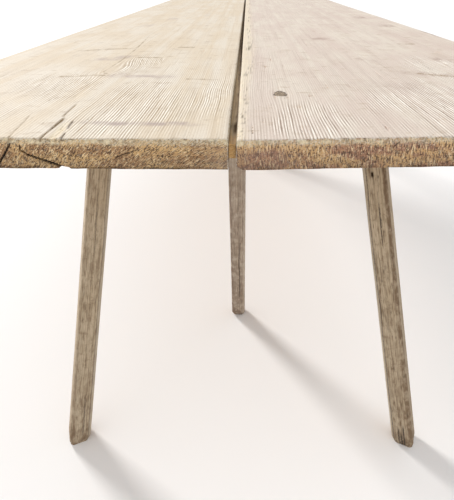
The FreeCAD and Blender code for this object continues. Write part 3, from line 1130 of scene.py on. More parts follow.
        # Grime and painted shade in the deepest torn pits; the end also grows darker towards the bottom.
        dirt_and_shade = np.maximum.reduce((dirt_and_shade, 0.45 * ease(0.35, 0.8, torn), 0.75 * rim, 0.3 * lower))
        waver = 0.4 * MM * self.noise.rough(x / 0.006, z / 0.004)
        red = ease(0.06, 0.015, np.abs(x)) * ease(4.0 * MM, 11.0 * MM, depth + 4.0 * MM * broad)
        marks = {"pale": pale, "dirt_and_shade": dirt_and_shade, "stain_and_shade": 0.42 * red}
        cracks = self.end_cracks if end is End.NEAR else ()
        marks["crack"], cut = crack_marks(cracks, x + waver, z + waver)
        sap, _ = self.sapwood(x, self.end_place(end, x))
        reach = 1 - ease(3.5 * MM, 8.0 * MM, depth + 2.0 * MM * self.noise.rough(x / 0.003, z / 0.003))
        marks["pale"] = np.maximum(pale, 0.8 * sap * reach)
        for scar in self.scars if end is End.NEAR else ():
            broken = 1 - ease(0.4, 1.1, np.abs(x - scar.corners[0][0]) / scar.half_width)
            marks["pale"] = np.maximum(marks["pale"], 0.85 * broken * reach * (0.8 + 0.5 * torn))
        return recess + cut, marks

    def foot_lift(self, x: Array, y: Array) -> Array:
        """How far the underside's edge is broken away along the near end, most at the chips.

        Args:
            x: places across.
            y: places along.

        Returns:
            Lifts in metres.
        """
        inwards = 1 - ease(0.0, self.foot_reach, y - self.end_place(End.NEAR, x))
        lift = self.foot_wear * (1 + self.noise.rough(x / 0.016, np.full_like(x, 6.1)))
        for chip in self.chips:
            across = np.abs(x - chip.x) / chip.half_width
            lift = np.maximum(lift, chip.depth * (1 - ease(0.2, 1.0, across)))
        return lift * inwards

    def build(self) -> Piece:
        """Makes the skin: a profile loop carried along the plank, closed by a grid at each end.

        The loop runs over the top from left to right, down the right edge, back under the plank
        in wide steps, and up the left edge.

        Returns:
            The plank's object.
        """
        columns = self.columns()
        shares = self.station_shares()
        sides = np.linspace(0.0, 1.0, self.near_rows + 1)[1:] ** 1.25
        coarse = columns[:: self.column_group]
        top_places, top_marks = self.top_face(columns, shares)
        right_edge = self.side_wall(top_places[:, -1], self.right, 1.0, sides)
        left_edge = self.side_wall(top_places[:, 0], self.left, -1.0, sides)
        foot = self.underside(coarse, shares)
        loop = np.concatenate((top_places, right_edge, foot[:, ::-1], left_edge[:, ::-1]), axis=1)
        around = loop.shape[1]
        tube = np.arange(loop.shape[0] * around).reshape(loop.shape[0], around)
        places = [loop.reshape(-1, 3)]
        quads = [grid_faces(np.concatenate((tube, tube[:, :1]), axis=1))]
        fans = []
        count = tube.size
        rows, wide, narrow = self.near_rows, len(columns), len(coarse)
        caps = []
        for end, station in ((End.NEAR, 0), (End.FAR, -1)):
            ring = tube[station]
            cap, cap_marks = self.end_face(end, loop[station], columns, sides)
            caps.append((count, cap_marks))
            index = np.empty((rows + 1, wide), int)
            index[0] = ring[:wide]
            index[1:, -1] = ring[wide: wide + rows]
            index[1:, 0] = ring[wide + rows + narrow:][::-1]
            index[1:, 1:-1] = count + np.arange(rows * (wide - 2)).reshape(rows, wide - 2)
            count += rows * (wide - 2)
            places.append(cap.reshape(-1, 3))
            foot_row = ring[wide + rows: wide + rows + narrow][::-1]
            starts = np.arange(0, wide - 1, self.column_group)
            spans = index[-1][starts[:, None] + np.arange(self.column_group + 1)]
            fan = np.concatenate((spans, foot_row[1:, None], foot_row[:-1, None]), axis=1)
            turn = end.value
            quads.append(grid_faces(index)[:, ::turn])
            fans.append(fan[:, ::turn])
        places = np.concatenate(places)
        marks = self.spread_marks(places, tube[:, :wide], top_marks, caps)
        faces = [np.concatenate(quads), np.concatenate(fans)]
        return put_mesh(f"{self.node}_board", places, faces, marks)

    def top_face(self, columns: Array, shares: Array) -> tuple[Array, Marks]:
        """Places and marks of the top face, rounded down at all four arrises, with painted shade along
        the long arrises.

        Args:
            columns: places across.
            shares: places along, from 0 to 1.

        Returns:
            Places by station and column, and the marks in the same layout.
        """
        near, far = self.end_place(End.NEAR, columns), self.end_place(End.FAR, columns)
        x = np.broadcast_to(columns, (len(shares), len(columns))).copy()
        y = near + (far - near) * shares[:, None]
        ring = self.grain.rings(x - self.left, y, np.zeros_like(x), self.width)
        height, marks = self.top_height(x, y, ring)
        drop = np.zeros_like(x)
        for end, gap in ((End.NEAR, y - near), (End.FAR, far - y)):
            drop = np.maximum(drop, rounding(self.wear(x, end), gap))
        edge = np.minimum(x - self.left, self.right - x)
        half = np.sign(x - x.mean())
        radius = self.arris * (1.0 + 0.3 * self.noise.rough(y / 0.08, 5.0 * half))
        drop = np.maximum(drop, rounding(radius, edge))
        # Painted shade: a dark line along the long arrises, wider on the outer edges than at the gap.
        arris_shade = ease(-0.25, 0.35, self.noise.rough(y / 0.16 + 20.0, 3.0 * half))
        outer = np.where(np.abs(x) > 0.5 * np.abs(x).max(), 5.0 * MM, 1.8 * MM)
        arris_shade = 0.55 * arris_shade * (1 - ease(0.2, 1.0, edge / outer))
        calm = 1 - ease(0.0, 1.5 * MM, drop)
        places = np.stack((x, y, self.top + height * calm - drop), axis=-1)
        near_drop = np.where(y < 0.5 * (near + far), drop, 0.0)
        pale, dirt_and_shade = self.arris_flecks(x, near_drop)
        marks["pale"] = np.maximum(marks["pale"], pale)
        marks["dirt_and_shade"] = np.maximum.reduce((marks["dirt_and_shade"], dirt_and_shade, arris_shade))
        return places, marks

    def side_wall(self, rim: Array, edge: float, facing: float, sides: Array) -> Array:
        """Long edge of the plank, from the rim of its top face down to the foot arris.

        Args:
            rim: places along the top face's last column.
            edge: X of the edge.
            facing: 1 if the edge faces +X, -1 if it faces -X.
            sides: shares of the way down.

        Returns:
            Places by station and row.
        """
        y = np.broadcast_to(rim[:, 1:2], (len(rim), len(sides)))
        bottom = self.under + self.foot_arris + self.foot_lift(np.array([edge]), y)
        z = rim[:, 2:3] + (bottom - rim[:, 2:3]) * sides
        sawn = self.saw_depth * (self.noise.rough(y / 0.06 + 5.0, z / 0.008 + facing) - 1.0)
        sawn = sawn * np.minimum(4 * sides, 1.0)
        return np.stack((edge + facing * sawn, y, z), axis=-1)

    def underside(self, coarse: Array, shares: Array) -> Array:
        """Underside in wide steps, drawn in by the foot arris at its edges and ends.

        Args:
            coarse: places across.
            shares: places along, from 0 to 1.

        Returns:
            Places by station and column.
        """
        x = np.clip(coarse, self.left + self.foot_arris, self.right - self.foot_arris)
        near = self.end_place(End.NEAR, x) + self.foot_setback
        far = self.end_place(End.FAR, x) - self.foot_setback
        y = near + (far - near) * shares[:, None]
        x = np.broadcast_to(x, y.shape)
        lift = self.foot_lift(x, y) + 0.15 * MM * (1 + self.noise.rough(x / 0.02, y / 0.05))
        return np.stack((x, y, self.under + lift), axis=-1)

    def end_face(self, end: End, ring: Array, columns: Array, sides: Array) -> tuple[Array, Marks]:
        """Inner places of a sawn end, between the loop's top, edges and foot.

        Args:
            end: which end.
            ring: the profile loop at that end.
            columns: places across.
            sides: shares of the way down.

        Returns:
            Places by row and inner column, and their marks.
        """
        inner = columns[1:-1]
        rim = ring[1: len(columns) - 1, 2]
        x = np.broadcast_to(inner, (len(sides), len(inner)))
        straight = self.end_place(end, inner)
        foot = self.under + self.foot_arris + self.foot_lift(inner, straight)
        z = rim + (foot - rim) * sides[:, None]
        recess, marks = self.end_recess(end, x, z)
        eased = np.minimum(3 * sides[:, None], 1.0) * np.minimum((x - self.left) / MM, 1.0)
        eased = eased * np.minimum((self.right - x) / MM, 1.0)
        y = straight - end.value * recess * eased
        return np.stack((x, y, z), axis=-1), marks

    def spread_marks(
        self, places: Array, top: Array, top_marks: Marks, caps: list[tuple[int, Marks]],
    ) -> Marks:
        """Marks of all vertices: the faces' own ones, and wood that is raw below the arrises.

        The long edges have weathered nearly as far as the top face, and are grimier.

        Args:
            places: all vertices.
            top: vertex numbers of the top face by station and column.
            top_marks: marks of the top face in the same layout.
            caps: for each end, its first vertex number and its marks.

        Returns:
            Marks by attribute name.
        """
        x, y, z = places.T
        depth = self.top - z
        fray = 1.2 * MM * self.noise.rough(x / 0.004 + 60.0, (y + z) / 0.004)
        bleach = 1 - ease(0.05 * MM, 1.9 * MM, depth + fray * ease(0.2 * MM, 1.0 * MM, depth))
        waver = 3.0 * MM * self.noise.rough(x / 0.018 + 33.0, z / 0.01)
        marks = {"bleach": np.maximum(bleach, 0.24 * (1 - ease(2.0 * MM, 9.0 * MM, depth + waver)))}
        edge = ease(1.0 * MM, 0.75 * MM, np.minimum(x - self.left, self.right - x))
        edge = edge * ease(0.0, 2.0 * MM, depth)
        cloud = self.noise.rough(y / 0.11 + 14.0, z / 0.012)
        marks["bleach"] = np.maximum(marks["bleach"], edge * (0.66 + 0.2 * cloud))
        for key, values in top_marks.items():
            marks[key] = np.zeros((len(places), *values.shape[2:]))
            marks[key][top] = values
            for start, cap in caps:
                if key in cap:
                    flat = cap[key].reshape(-1, *values.shape[2:])
                    marks[key][start: start + len(flat)] = flat
        marks["grain"] = np.maximum(marks["grain"], 0.7 * edge)
        marks["dirt_and_shade"] = np.maximum(marks["dirt_and_shade"], edge * (0.27 + 0.15 * cloud))
        marks["ring"] = self.grain.rings(x - self.left, y, depth, self.width)
        marks["wood"] = np.stack((x, z, y), axis=-1)
        return marks

    def dress(self) -> None:
        """Builds the plank, cuts its housings and groove, and gives it its finish and body."""
        piece = self.build()
        cut_out(piece, [batten.housing() for batten in BATTENS] + [TONGUE.groove()])
        settle(piece, self.finish, Body.TOP, self.node, self.node)


def settle(piece: Piece, finish: WoodFinish, body: Body, slot: str, *nodes: str) -> None:
    """Gives a piece its finish, lets it ride on its body in place of its nodes, and reports it.

    Args:
        piece: the shaped object.
        finish: its wood.
        body: the body that it moves with.
        slot: name of the material slot that it belongs to; not used.
        nodes: the nodes that it stands for.
    """
    piece.data.materials.append(finish.material())
    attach(piece, body.value)
    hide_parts(*nodes)
    log.info("%s rides on %s: %d faces", piece.name, body.value, len(piece.data.polygons))


@dataclass(frozen=True)
class Batten:
    """Cross bar under the planks, its head a sliding dovetail in them, with two pegs."""

    node: str
    seed: int
    under: float = 0.720
    half_neck: float = 28.0 * MM
    flare: float = 5.0 * MM
    chamfer: float = 6.0 * MM
    fit: float = 0.2 * MM
    housing_overrun: float = 20.0 * MM
    saw_depth: float = 0.35 * MM
    bow: float = 0.6 * MM
    ring_pitch: float = 3.4 * MM
    peg_radius: float = 6.0 * MM
    peg_sides: int = 9
    peg_ring_pitch: float = 1.4 * MM

    def outline(self) -> list[Point]:
        """Section seen along +X, clockwise: Y across and Z up.

        Returns:
            The corners.
        """
        low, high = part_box(self.node)
        y = (low.y + high.y) / 2
        neck, head = self.half_neck, self.half_neck + self.flare
        half = [
            (head, high.z), (neck, self.under),
            (neck, low.z + self.chamfer), (neck - self.chamfer, low.z),
        ]
        mirrored = [(y - across, z) for across, z in reversed(half)]
        return [(y + across, z) for across, z in half] + mirrored

    def housing(self) -> Piece:
        """Cutter for the dovetailed slot in a plank, larger than the batten's head by the fit.

        Returns:
            The cutter.
        """
        low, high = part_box(self.node)
        y, reach = (low.y + high.y) / 2, high.x + self.housing_overrun
        neck, head = self.half_neck + self.fit, self.half_neck + self.flare + self.fit
        section = [
            (y + head, high.z + self.fit), (y + neck, self.under), (y + neck, low.z),
            (y - neck, low.z), (y - neck, self.under), (y - head, high.z + self.fit),
        ]
        points = evenly(section, 40.0 * MM)
        x = np.linspace(-reach, reach, 24)[:, None]
        rings = np.stack(np.broadcast_arrays(x, points[:, 0], points[:, 1]), axis=-1)
        return put_sweeps(f"{self.node}_housing", [rings], [{"wood": rings[..., [1, 2, 0]]}])

    def dress(self) -> None:
        """Builds the bar, sawn and a little bowed below the planks, and its pegs."""
        low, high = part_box(self.node)
        noise = SmoothNoise(self.seed)
        points = evenly(self.outline(), 3.0 * MM)
        middle = np.array([(low.y + high.y) / 2, (low.z + high.z) / 2])
        x = close_ended(low.x, high.x, np.array([0.0, 0.6, 2.0]) * MM, 114)
        edge = np.minimum(x - low.x, high.x - x)
        inset = 1 - 0.02 * (1 - ease(0.0, 2.0 * MM, edge))
        hanging = ease(self.under, self.under - 3.0 * MM, points[:, 1])
        saw = 1 + noise.rough(x / 0.012, points[:, 1] / 0.05 + points[:, 0] / 0.05)
        bow = 1 + noise.at(x / 0.15, points[:, 1] / 0.02)
        worn = (self.saw_depth * saw + self.bow * bow) * hanging
        flat = middle + (points - middle) * inset[..., None]
        rings = capped(along_x(x, flat - outwards(points, middle) * worn[..., None]))
        marks = wood_marks(rings, (1, 2, 0), self.ring_pitch, self.seed)
        piece = put_sweeps(f"{self.node}_bar", [rings], [marks])
        settle(piece, SAWN_BATTEN, Body.TOP, "batten", self.node)
        self.dress_pegs()

    def dress_pegs(self) -> None:
        """Builds the two pegs: whittled sides, tapering, with a bevelled end below the batten."""
        node = f"{self.node}_pegs"
        low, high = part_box(node)
        y = (low.y + high.y) / 2
        angle = clockwise(44)
        facet = math.pi / self.peg_sides
        flat = np.cos(facet) / np.cos((angle + facet) % (2 * facet) - facet)
        height = high.z - low.z
        z = np.concatenate((np.array([0.0, 0.5, 1.2, 2.0]) * MM, np.linspace(3.0 * MM, height, 16)))
        bevel = 1 - 0.22 * (1 - ease(0.0, 1.6 * MM, z))
        radius = self.peg_radius * (0.35 + 0.65 * flat) * bevel[:, None]
        skins, marks = [], []
        for x in (low.x + self.peg_radius, high.x - self.peg_radius):
            rings = np.stack((
                x + radius * np.cos(angle), y - radius * np.sin(angle),
                np.broadcast_to(low.z + z[:, None], radius.shape),
            ), axis=-1)
            rings = capped(rings[:, ::-1])
            skins.append(rings)
            marks.append(wood_marks(rings, (0, 1, 2), self.peg_ring_pitch, self.seed))
        piece = put_sweeps(f"{node}_whittled", skins, marks)
        settle(piece, CLEFT_PEG, Body.TOP, "peg", node)


def capped(rings: Array, shares: tuple[float, ...] = CAP_SHARES) -> Array:
    """Rings with each end closed by smaller copies of its ring about their middle.

    Args:
        rings: places by station, place round the ring, and coordinate.
        shares: sizes of the copies, from the outside in.

    Returns:
        The longer set of rings.
    """
    def shrunk(ring: Array) -> list[Array]:
        """Smaller copies of one ring."""
        middle = ring.mean(0)
        return [middle + (ring - middle) * share for share in shares]

    return np.stack([*shrunk(rings[0])[::-1], *rings, *shrunk(rings[-1])])


def wood_marks(rings: Array, order: tuple[int, int, int], pitch: float, seed: int) -> Marks:
    """Marks of a bar whose grain runs along one axis: raw at its ends, weathered on its sides.

    The ring number is the distance from a pith beside the bar, over the pitch.

    Args:
        rings: places of the bar's skin.
        order: which coordinates run across, through and along the grain.
        pitch: width of a growth ring.
        seed: number that fixes the pith's place.

    Returns:
        Marks by attribute name.
    """
    wood = rings[..., list(order)]
    draw = np.random.default_rng(seed)
    pith = wood.reshape(-1, 3)[:, :2].mean(0) + draw.uniform(-0.03, 0.03, 2)
    noise = SmoothNoise(seed)
    sway = 2.0 * MM * noise.at(wood[..., 2] / 0.2, wood[..., 0] / 0.2)
    ring = (np.hypot(wood[..., 0] - pith[0], wood[..., 1] - pith[1]) + sway) / pitch
    flat = np.zeros(rings.shape[:2])
    inner = flat.copy()
    inner[RAW_RINGS:-RAW_RINGS] = 0.9
    return {"wood": wood, "ring": ring, "bleach": inner, "grain": inner, "dirt_and_shade": flat}


@dataclass(frozen=True)
class Tongue:
    """Loose tongue between the planks: its web fills their gap, its wings lie in grooves."""

    node: str = "loose_tongue"
    seed: int = 61
    wing_stop: float = 60.0 * MM
    half_web: float = 3.3 * MM
    half_wing_height: float = 5.0 * MM
    fit: float = 0.2 * MM
    wear: float = 0.5 * MM
    sunk: float = 3.0 * MM
    ring_pitch: float = 2.6 * MM
    clean_end: Point = (14.0 * MM, 30.0 * MM)
    # A hollow whose shade is painted as a dark spot: its place and half sizes.
    hollow: Point = (1.0 * MM, -1.288)
    hollow_halves: Point = (2.6 * MM, 12.0 * MM)
    # Where along the table the painted shade of the deepening gap begins and where it is full.
    dark_from: Point = (-1.15, -0.50)

    def groove(self) -> Piece:
        """Cutter for the grooves that the wings lie in.

        Returns:
            The cutter.
        """
        low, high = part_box(self.node)
        middle = (low.z + high.z) / 2
        half = self.half_wing_height + self.fit
        left, right = low.x - self.fit, high.x + self.fit
        section = [
            (left, middle - half), (left, middle + half),
            (right, middle + half), (right, middle - half),
        ]
        points = evenly(section, 12.0 * MM)
        stop = self.wing_stop - self.fit
        y = np.linspace(low.y + stop, high.y - stop, 60)[:, None]
        x, y, z = np.broadcast_arrays(points[:, 0], y, points[:, 1])
        rings = np.stack((x, y, z), axis=-1)
        return put_sweeps("tongue_groove", [rings], [{"wood": rings[..., [0, 2, 1]]}])

    def dress(self) -> None:
        """Builds the strip: a cross-shaped section that loses its wings near the ends.

        Its top sags away from the near end, and its painted shade grows darker along the table.
        """
        low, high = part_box(self.node)
        noise = SmoothNoise(self.seed)
        x0, z0 = (low.x + high.x) / 2, (low.z + high.z) / 2
        web, wing = self.half_web, (high.x - low.x) / 2
        tall, thin = (high.z - low.z) / 2, self.half_wing_height
        half = [
            (-web, -tall), (-web, -thin), (-wing, -thin),
            (-wing, thin), (-web, thin), (-web, tall),
        ]
        section = evenly(half + [(-x, -z) for x, z in half], 1.6 * MM)
        length = high.y - low.y
        stop = self.wing_stop
        start = np.array([0.0, 0.5, 1.5, 4.0, 12.0, 25.0, 40.0, 59.0]) * MM
        even = np.linspace(stop, length - stop, 170)
        y = np.concatenate((start, even, length - start[::-1]))[:, None]
        winged = ((y >= stop - 0.1 * MM) & (y <= length - stop + 0.1 * MM)).astype(float)
        reach = np.clip(section[:, 0], -web, web)
        x = reach + (section[:, 0] - reach) * winged
        upper = ease(tall - 2.0 * MM, tall, section[:, 1])
        worn = self.wear * (1 + noise.rough((low.y + y) / 0.02, section[:, 0] / 0.004))
        sag = self.sunk * ease(0.05, 0.7, y) * (1 + 0.5 * noise.at(y / 0.2, 0.5 + 0 * y))
        z = section[:, 1] - upper * (worn + sag)
        rings = np.stack(np.broadcast_arrays(x0 + x, low.y + y, z0 + z), axis=-1)
        rings = capped(rings)
        marks = wood_marks(rings, (0, 2, 1), self.ring_pitch, self.seed)
        marks |= self.dust_and_shade(noise, rings, x0, low.y)
        piece = put_sweeps("loose_tongue_strip", [rings], [marks])
        settle(piece, DUSTY_SHADED_STRIP, Body.TOP, self.node, self.node)

    def dust_and_shade(self, noise: SmoothNoise, rings: Array, middle: float, near: float) -> Marks:
        """Grime and painted shade on the strip: grime crumbs, painted shade on its right side and along
        the table, and a dark spot painted as the shade of a hollow.

        Near the strip's near end, where the gap opens, there is less painted shade and the wood is
        browner.

        Args:
            noise: the strip's noise.
            rings: places of the strip's skin.
            middle: place of its middle across the table.
            near: place of its near end along the table.

        Returns:
            Shares of grime with painted shade, and of stain.
        """
        across, along = rings[..., 0], rings[..., 1]
        aside = across - middle
        crumbs = ease(0.1, 0.6, noise.rough(along / 0.010, across / 0.003))
        waver = 1.2 * MM * noise.rough(along / 0.03, across / 0.01)
        # Painted shade on the strip's right side.
        shaded = ease(-0.3 * self.half_web, 0.9 * self.half_web, aside + waver)
        # Painted shade of the gap, deepening along the table.
        deep = ease(*self.dark_from, along)
        # A dark spot painted as the shade of a hollow.
        hollow = np.exp(
            -(((along - self.hollow[1]) / self.hollow_halves[1]) ** 2)
            - ((aside - self.hollow[0]) / self.hollow_halves[0]) ** 2
        )
        ragged = 6.0 * MM * noise.rough(along / 0.012, across / 0.004)
        clean = 1 - ease(*self.clean_end, along - near + ragged)
        # Grime crumbs, then painted shade from the right side, the deepening gap and the hollow; less
        # shade near the open end.
        dirt_and_shade = 0.3 * crumbs + 0.5 * shaded * (1 - 0.7 * clean) + 0.62 * deep + 0.9 * hollow
        return {"dirt_and_shade": np.clip(dirt_and_shade, 0.0, 0.95), "stain_and_shade": 0.65 * clean}


@dataclass(frozen=True)
class Split:
    """Dry split or crease along a leg: its place round the section, in turns, and its run."""

    turn: float
    bottom: float
    top: float
    half_width: float = 0.7 * MM
    strength: float = 0.9


@dataclass(frozen=True)
class Hole:
    """Old nail hole or dark spot in a leg."""

    turn: float
    height: float
    half_width: float
    half_length: float


@dataclass(frozen=True)
class Leg:
    """Shaved pole staked into a beam: foot and head are places beside the beam's middle."""

    side: str
    foot: Point
    head: float
    foot_width: float
    head_width: float
    twist: float
    seed: int
    worn_turn: float
    # Turn of the chamfer that is darkened as painted shade.
    dark_turn: float
    worn: float = 0.5
    mottle: float = 1.0
    grime: float = 0.0
    splits: tuple[Split, ...] = ()
    holes: tuple[Hole, ...] = ()
    finish: WoodFinish = GREY_POLE
    split_depth: float = 1.2 * MM
    pith: Point = (4.0 * MM, -6.0 * MM)
    ring_pitch: float = 2.3 * MM
    chamfer: float = 5.5 * MM
    chamfer_turns: float = 0.095
    corner_power: int = 36
    foot_bevel: float = 3.0 * MM
    bevel_height: float = 12.0 * MM
    tenon_radius: float = 15.0 * MM
    tenon_recess: float = 1.4 * MM
    bore_fit: float = 0.3 * MM
    wedge_recess: float = 1.0 * MM
    wedge_length: float = 44.0 * MM
    wedge_thickness: float = 7.0 * MM
    wedge_tip: float = 2.0 * MM
    wedge_share: float = 0.955
    around: int = 96

    def radius(self, noise: SmoothNoise, angle: Array, z: Array, top: float) -> tuple[Array, Array]:
        """The shaft's radius at an angle, the softened least of the reaches to its eight sides.

        The sides are four flats and four chamfers; shaving leaves shallow hollows along them.

        Args:
            noise: noise that repeats round the leg.
            angle: angles round the section, in one row.
            z: heights over the floor, in one column.
            top: height of the shaft's top.

        Returns:
            Radii by height and angle, and the half widths by height.
        """
        half = (self.foot_width + (self.head_width - self.foot_width) * z / top) / 2
        half = half - self.foot_bevel * (1 - ease(0.0, self.bevel_height, z))
        cosine, sine = np.abs(np.cos(angle)), np.abs(np.sin(angle))
        reaches = np.stack(np.broadcast_arrays(
            cosine / half, sine / half, (cosine + sine) / (2 * half - self.chamfer),
        ))
        radius = (reaches**self.corner_power).sum(0) ** (-1 / self.corner_power)
        turns = LEG_CELLS * angle / (2 * math.pi)
        wave = noise.rough(turns / 4, z / 0.11)
        shave = noise.rough(turns / 2 + 7.0, z / 0.03)
        fibre = noise.at(2 * turns, z / 0.05)
        shaved = (0.35 * (1 + wave) + 0.2 * (1 + shave) + 0.1 * (1 + fibre)) * MM
        return radius - shaved, half

    def marks(self, noise: SmoothNoise, angle: Array, z: Array, half: Array) -> Marks:
        """Marks of the shaft: brown streaks, one worn chamfer, the opposite chamfer darkened as painted
        shade, splits and holes.

        Args:
            noise: noise that repeats round the leg.
            angle: angles round the section, in one row.
            z: heights over the floor, in one column.
            half: half widths by height.

        Returns:
            Marks by attribute name.
        """
        def apart(turn: Array | float) -> Array:
            """Signed distance round the section from a place, in turns."""
            return (angle / (2 * math.pi) - turn + 0.5) % 1.0 - 0.5

        turns = LEG_CELLS * angle / (2 * math.pi)
        streaks = ease(0.15, 0.50, noise.rough(2 * turns, z / 0.035))
        specks = ease(0.35, 0.7, noise.rough(3 * turns, z / 0.010))
        chamfer = self.chamfer_turns * self.chamfer / half
        worn = 1 - ease(0.85, 1.35, np.abs(apart(self.worn_turn)) / chamfer)
        # Painted shade: the chamfer at the dark turn is darkened as the leg's shaded edge.
        dark = 1 - ease(0.9, 1.6, np.abs(apart(self.dark_turn)) / chamfer)
        corner = np.abs((apart(0.125) + 0.125) % 0.25 - 0.125)
        rubbed = 1 - ease(0.7, 1.3, corner / chamfer)
        low_end = 1 - ease(0.0, 0.05, z + 0.02 * noise.rough(turns, z / 0.02))
        flat = np.zeros(streaks.shape)
        marks = {"bleach": flat + 1.0, "grain": flat + 0.7}
        marks["pale"] = self.worn * worn * (1 - 0.5 * streaks)
        handled = 1 - ease(0.05, 0.45, z)
        # Stains, grime and, from the dark chamfer, painted shade.
        stain_and_shade = 0.5 * self.mottle * streaks + 0.65 * dark + 0.5 * low_end
        stain_and_shade = stain_and_shade + 0.3 * (handled + rubbed) + self.grime
        marks["stain_and_shade"] = np.clip(stain_and_shade, 0.0, 0.9) * (1 - 0.7 * worn)
        marks["dirt_and_shade"] = 0.35 * self.mottle * specks * (1 - worn)
        for hole in self.holes:
            aside = apart(hole.turn) * 2 * math.pi * half / hole.half_width
            reach = np.hypot(aside, (z - hole.height) / hole.half_length)
            marks["dirt_and_shade"] = np.maximum(marks["dirt_and_shade"], 1 - ease(0.6, 1.1, reach))
        marks["crack"] = np.zeros((*flat.shape, 3))
        marks["crack"][..., 0] = FAR_FROM_SPLIT
        for split in self.splits:
            drift = split.turn + 0.010 * noise.at(z / 0.06, split.turn * 9 + 0 * z)
            gap = apart(drift) * 2 * math.pi * half / split.half_width
            gap = np.clip(gap, -FAR_FROM_SPLIT, FAR_FROM_SPLIT)
            run = split.top - split.bottom
            ends = ease(split.bottom - 0.2 * run, split.bottom, z)
            ends = ends * (1 - ease(split.top - 0.3 * run, split.top, z))
            nearer = np.abs(gap) < np.abs(marks["crack"][..., 0])
            marks["crack"][..., 0] = np.where(nearer, gap, marks["crack"][..., 0])
            marks["crack"][..., 1] = np.where(nearer, split.strength * ends, marks["crack"][..., 1])
        return marks


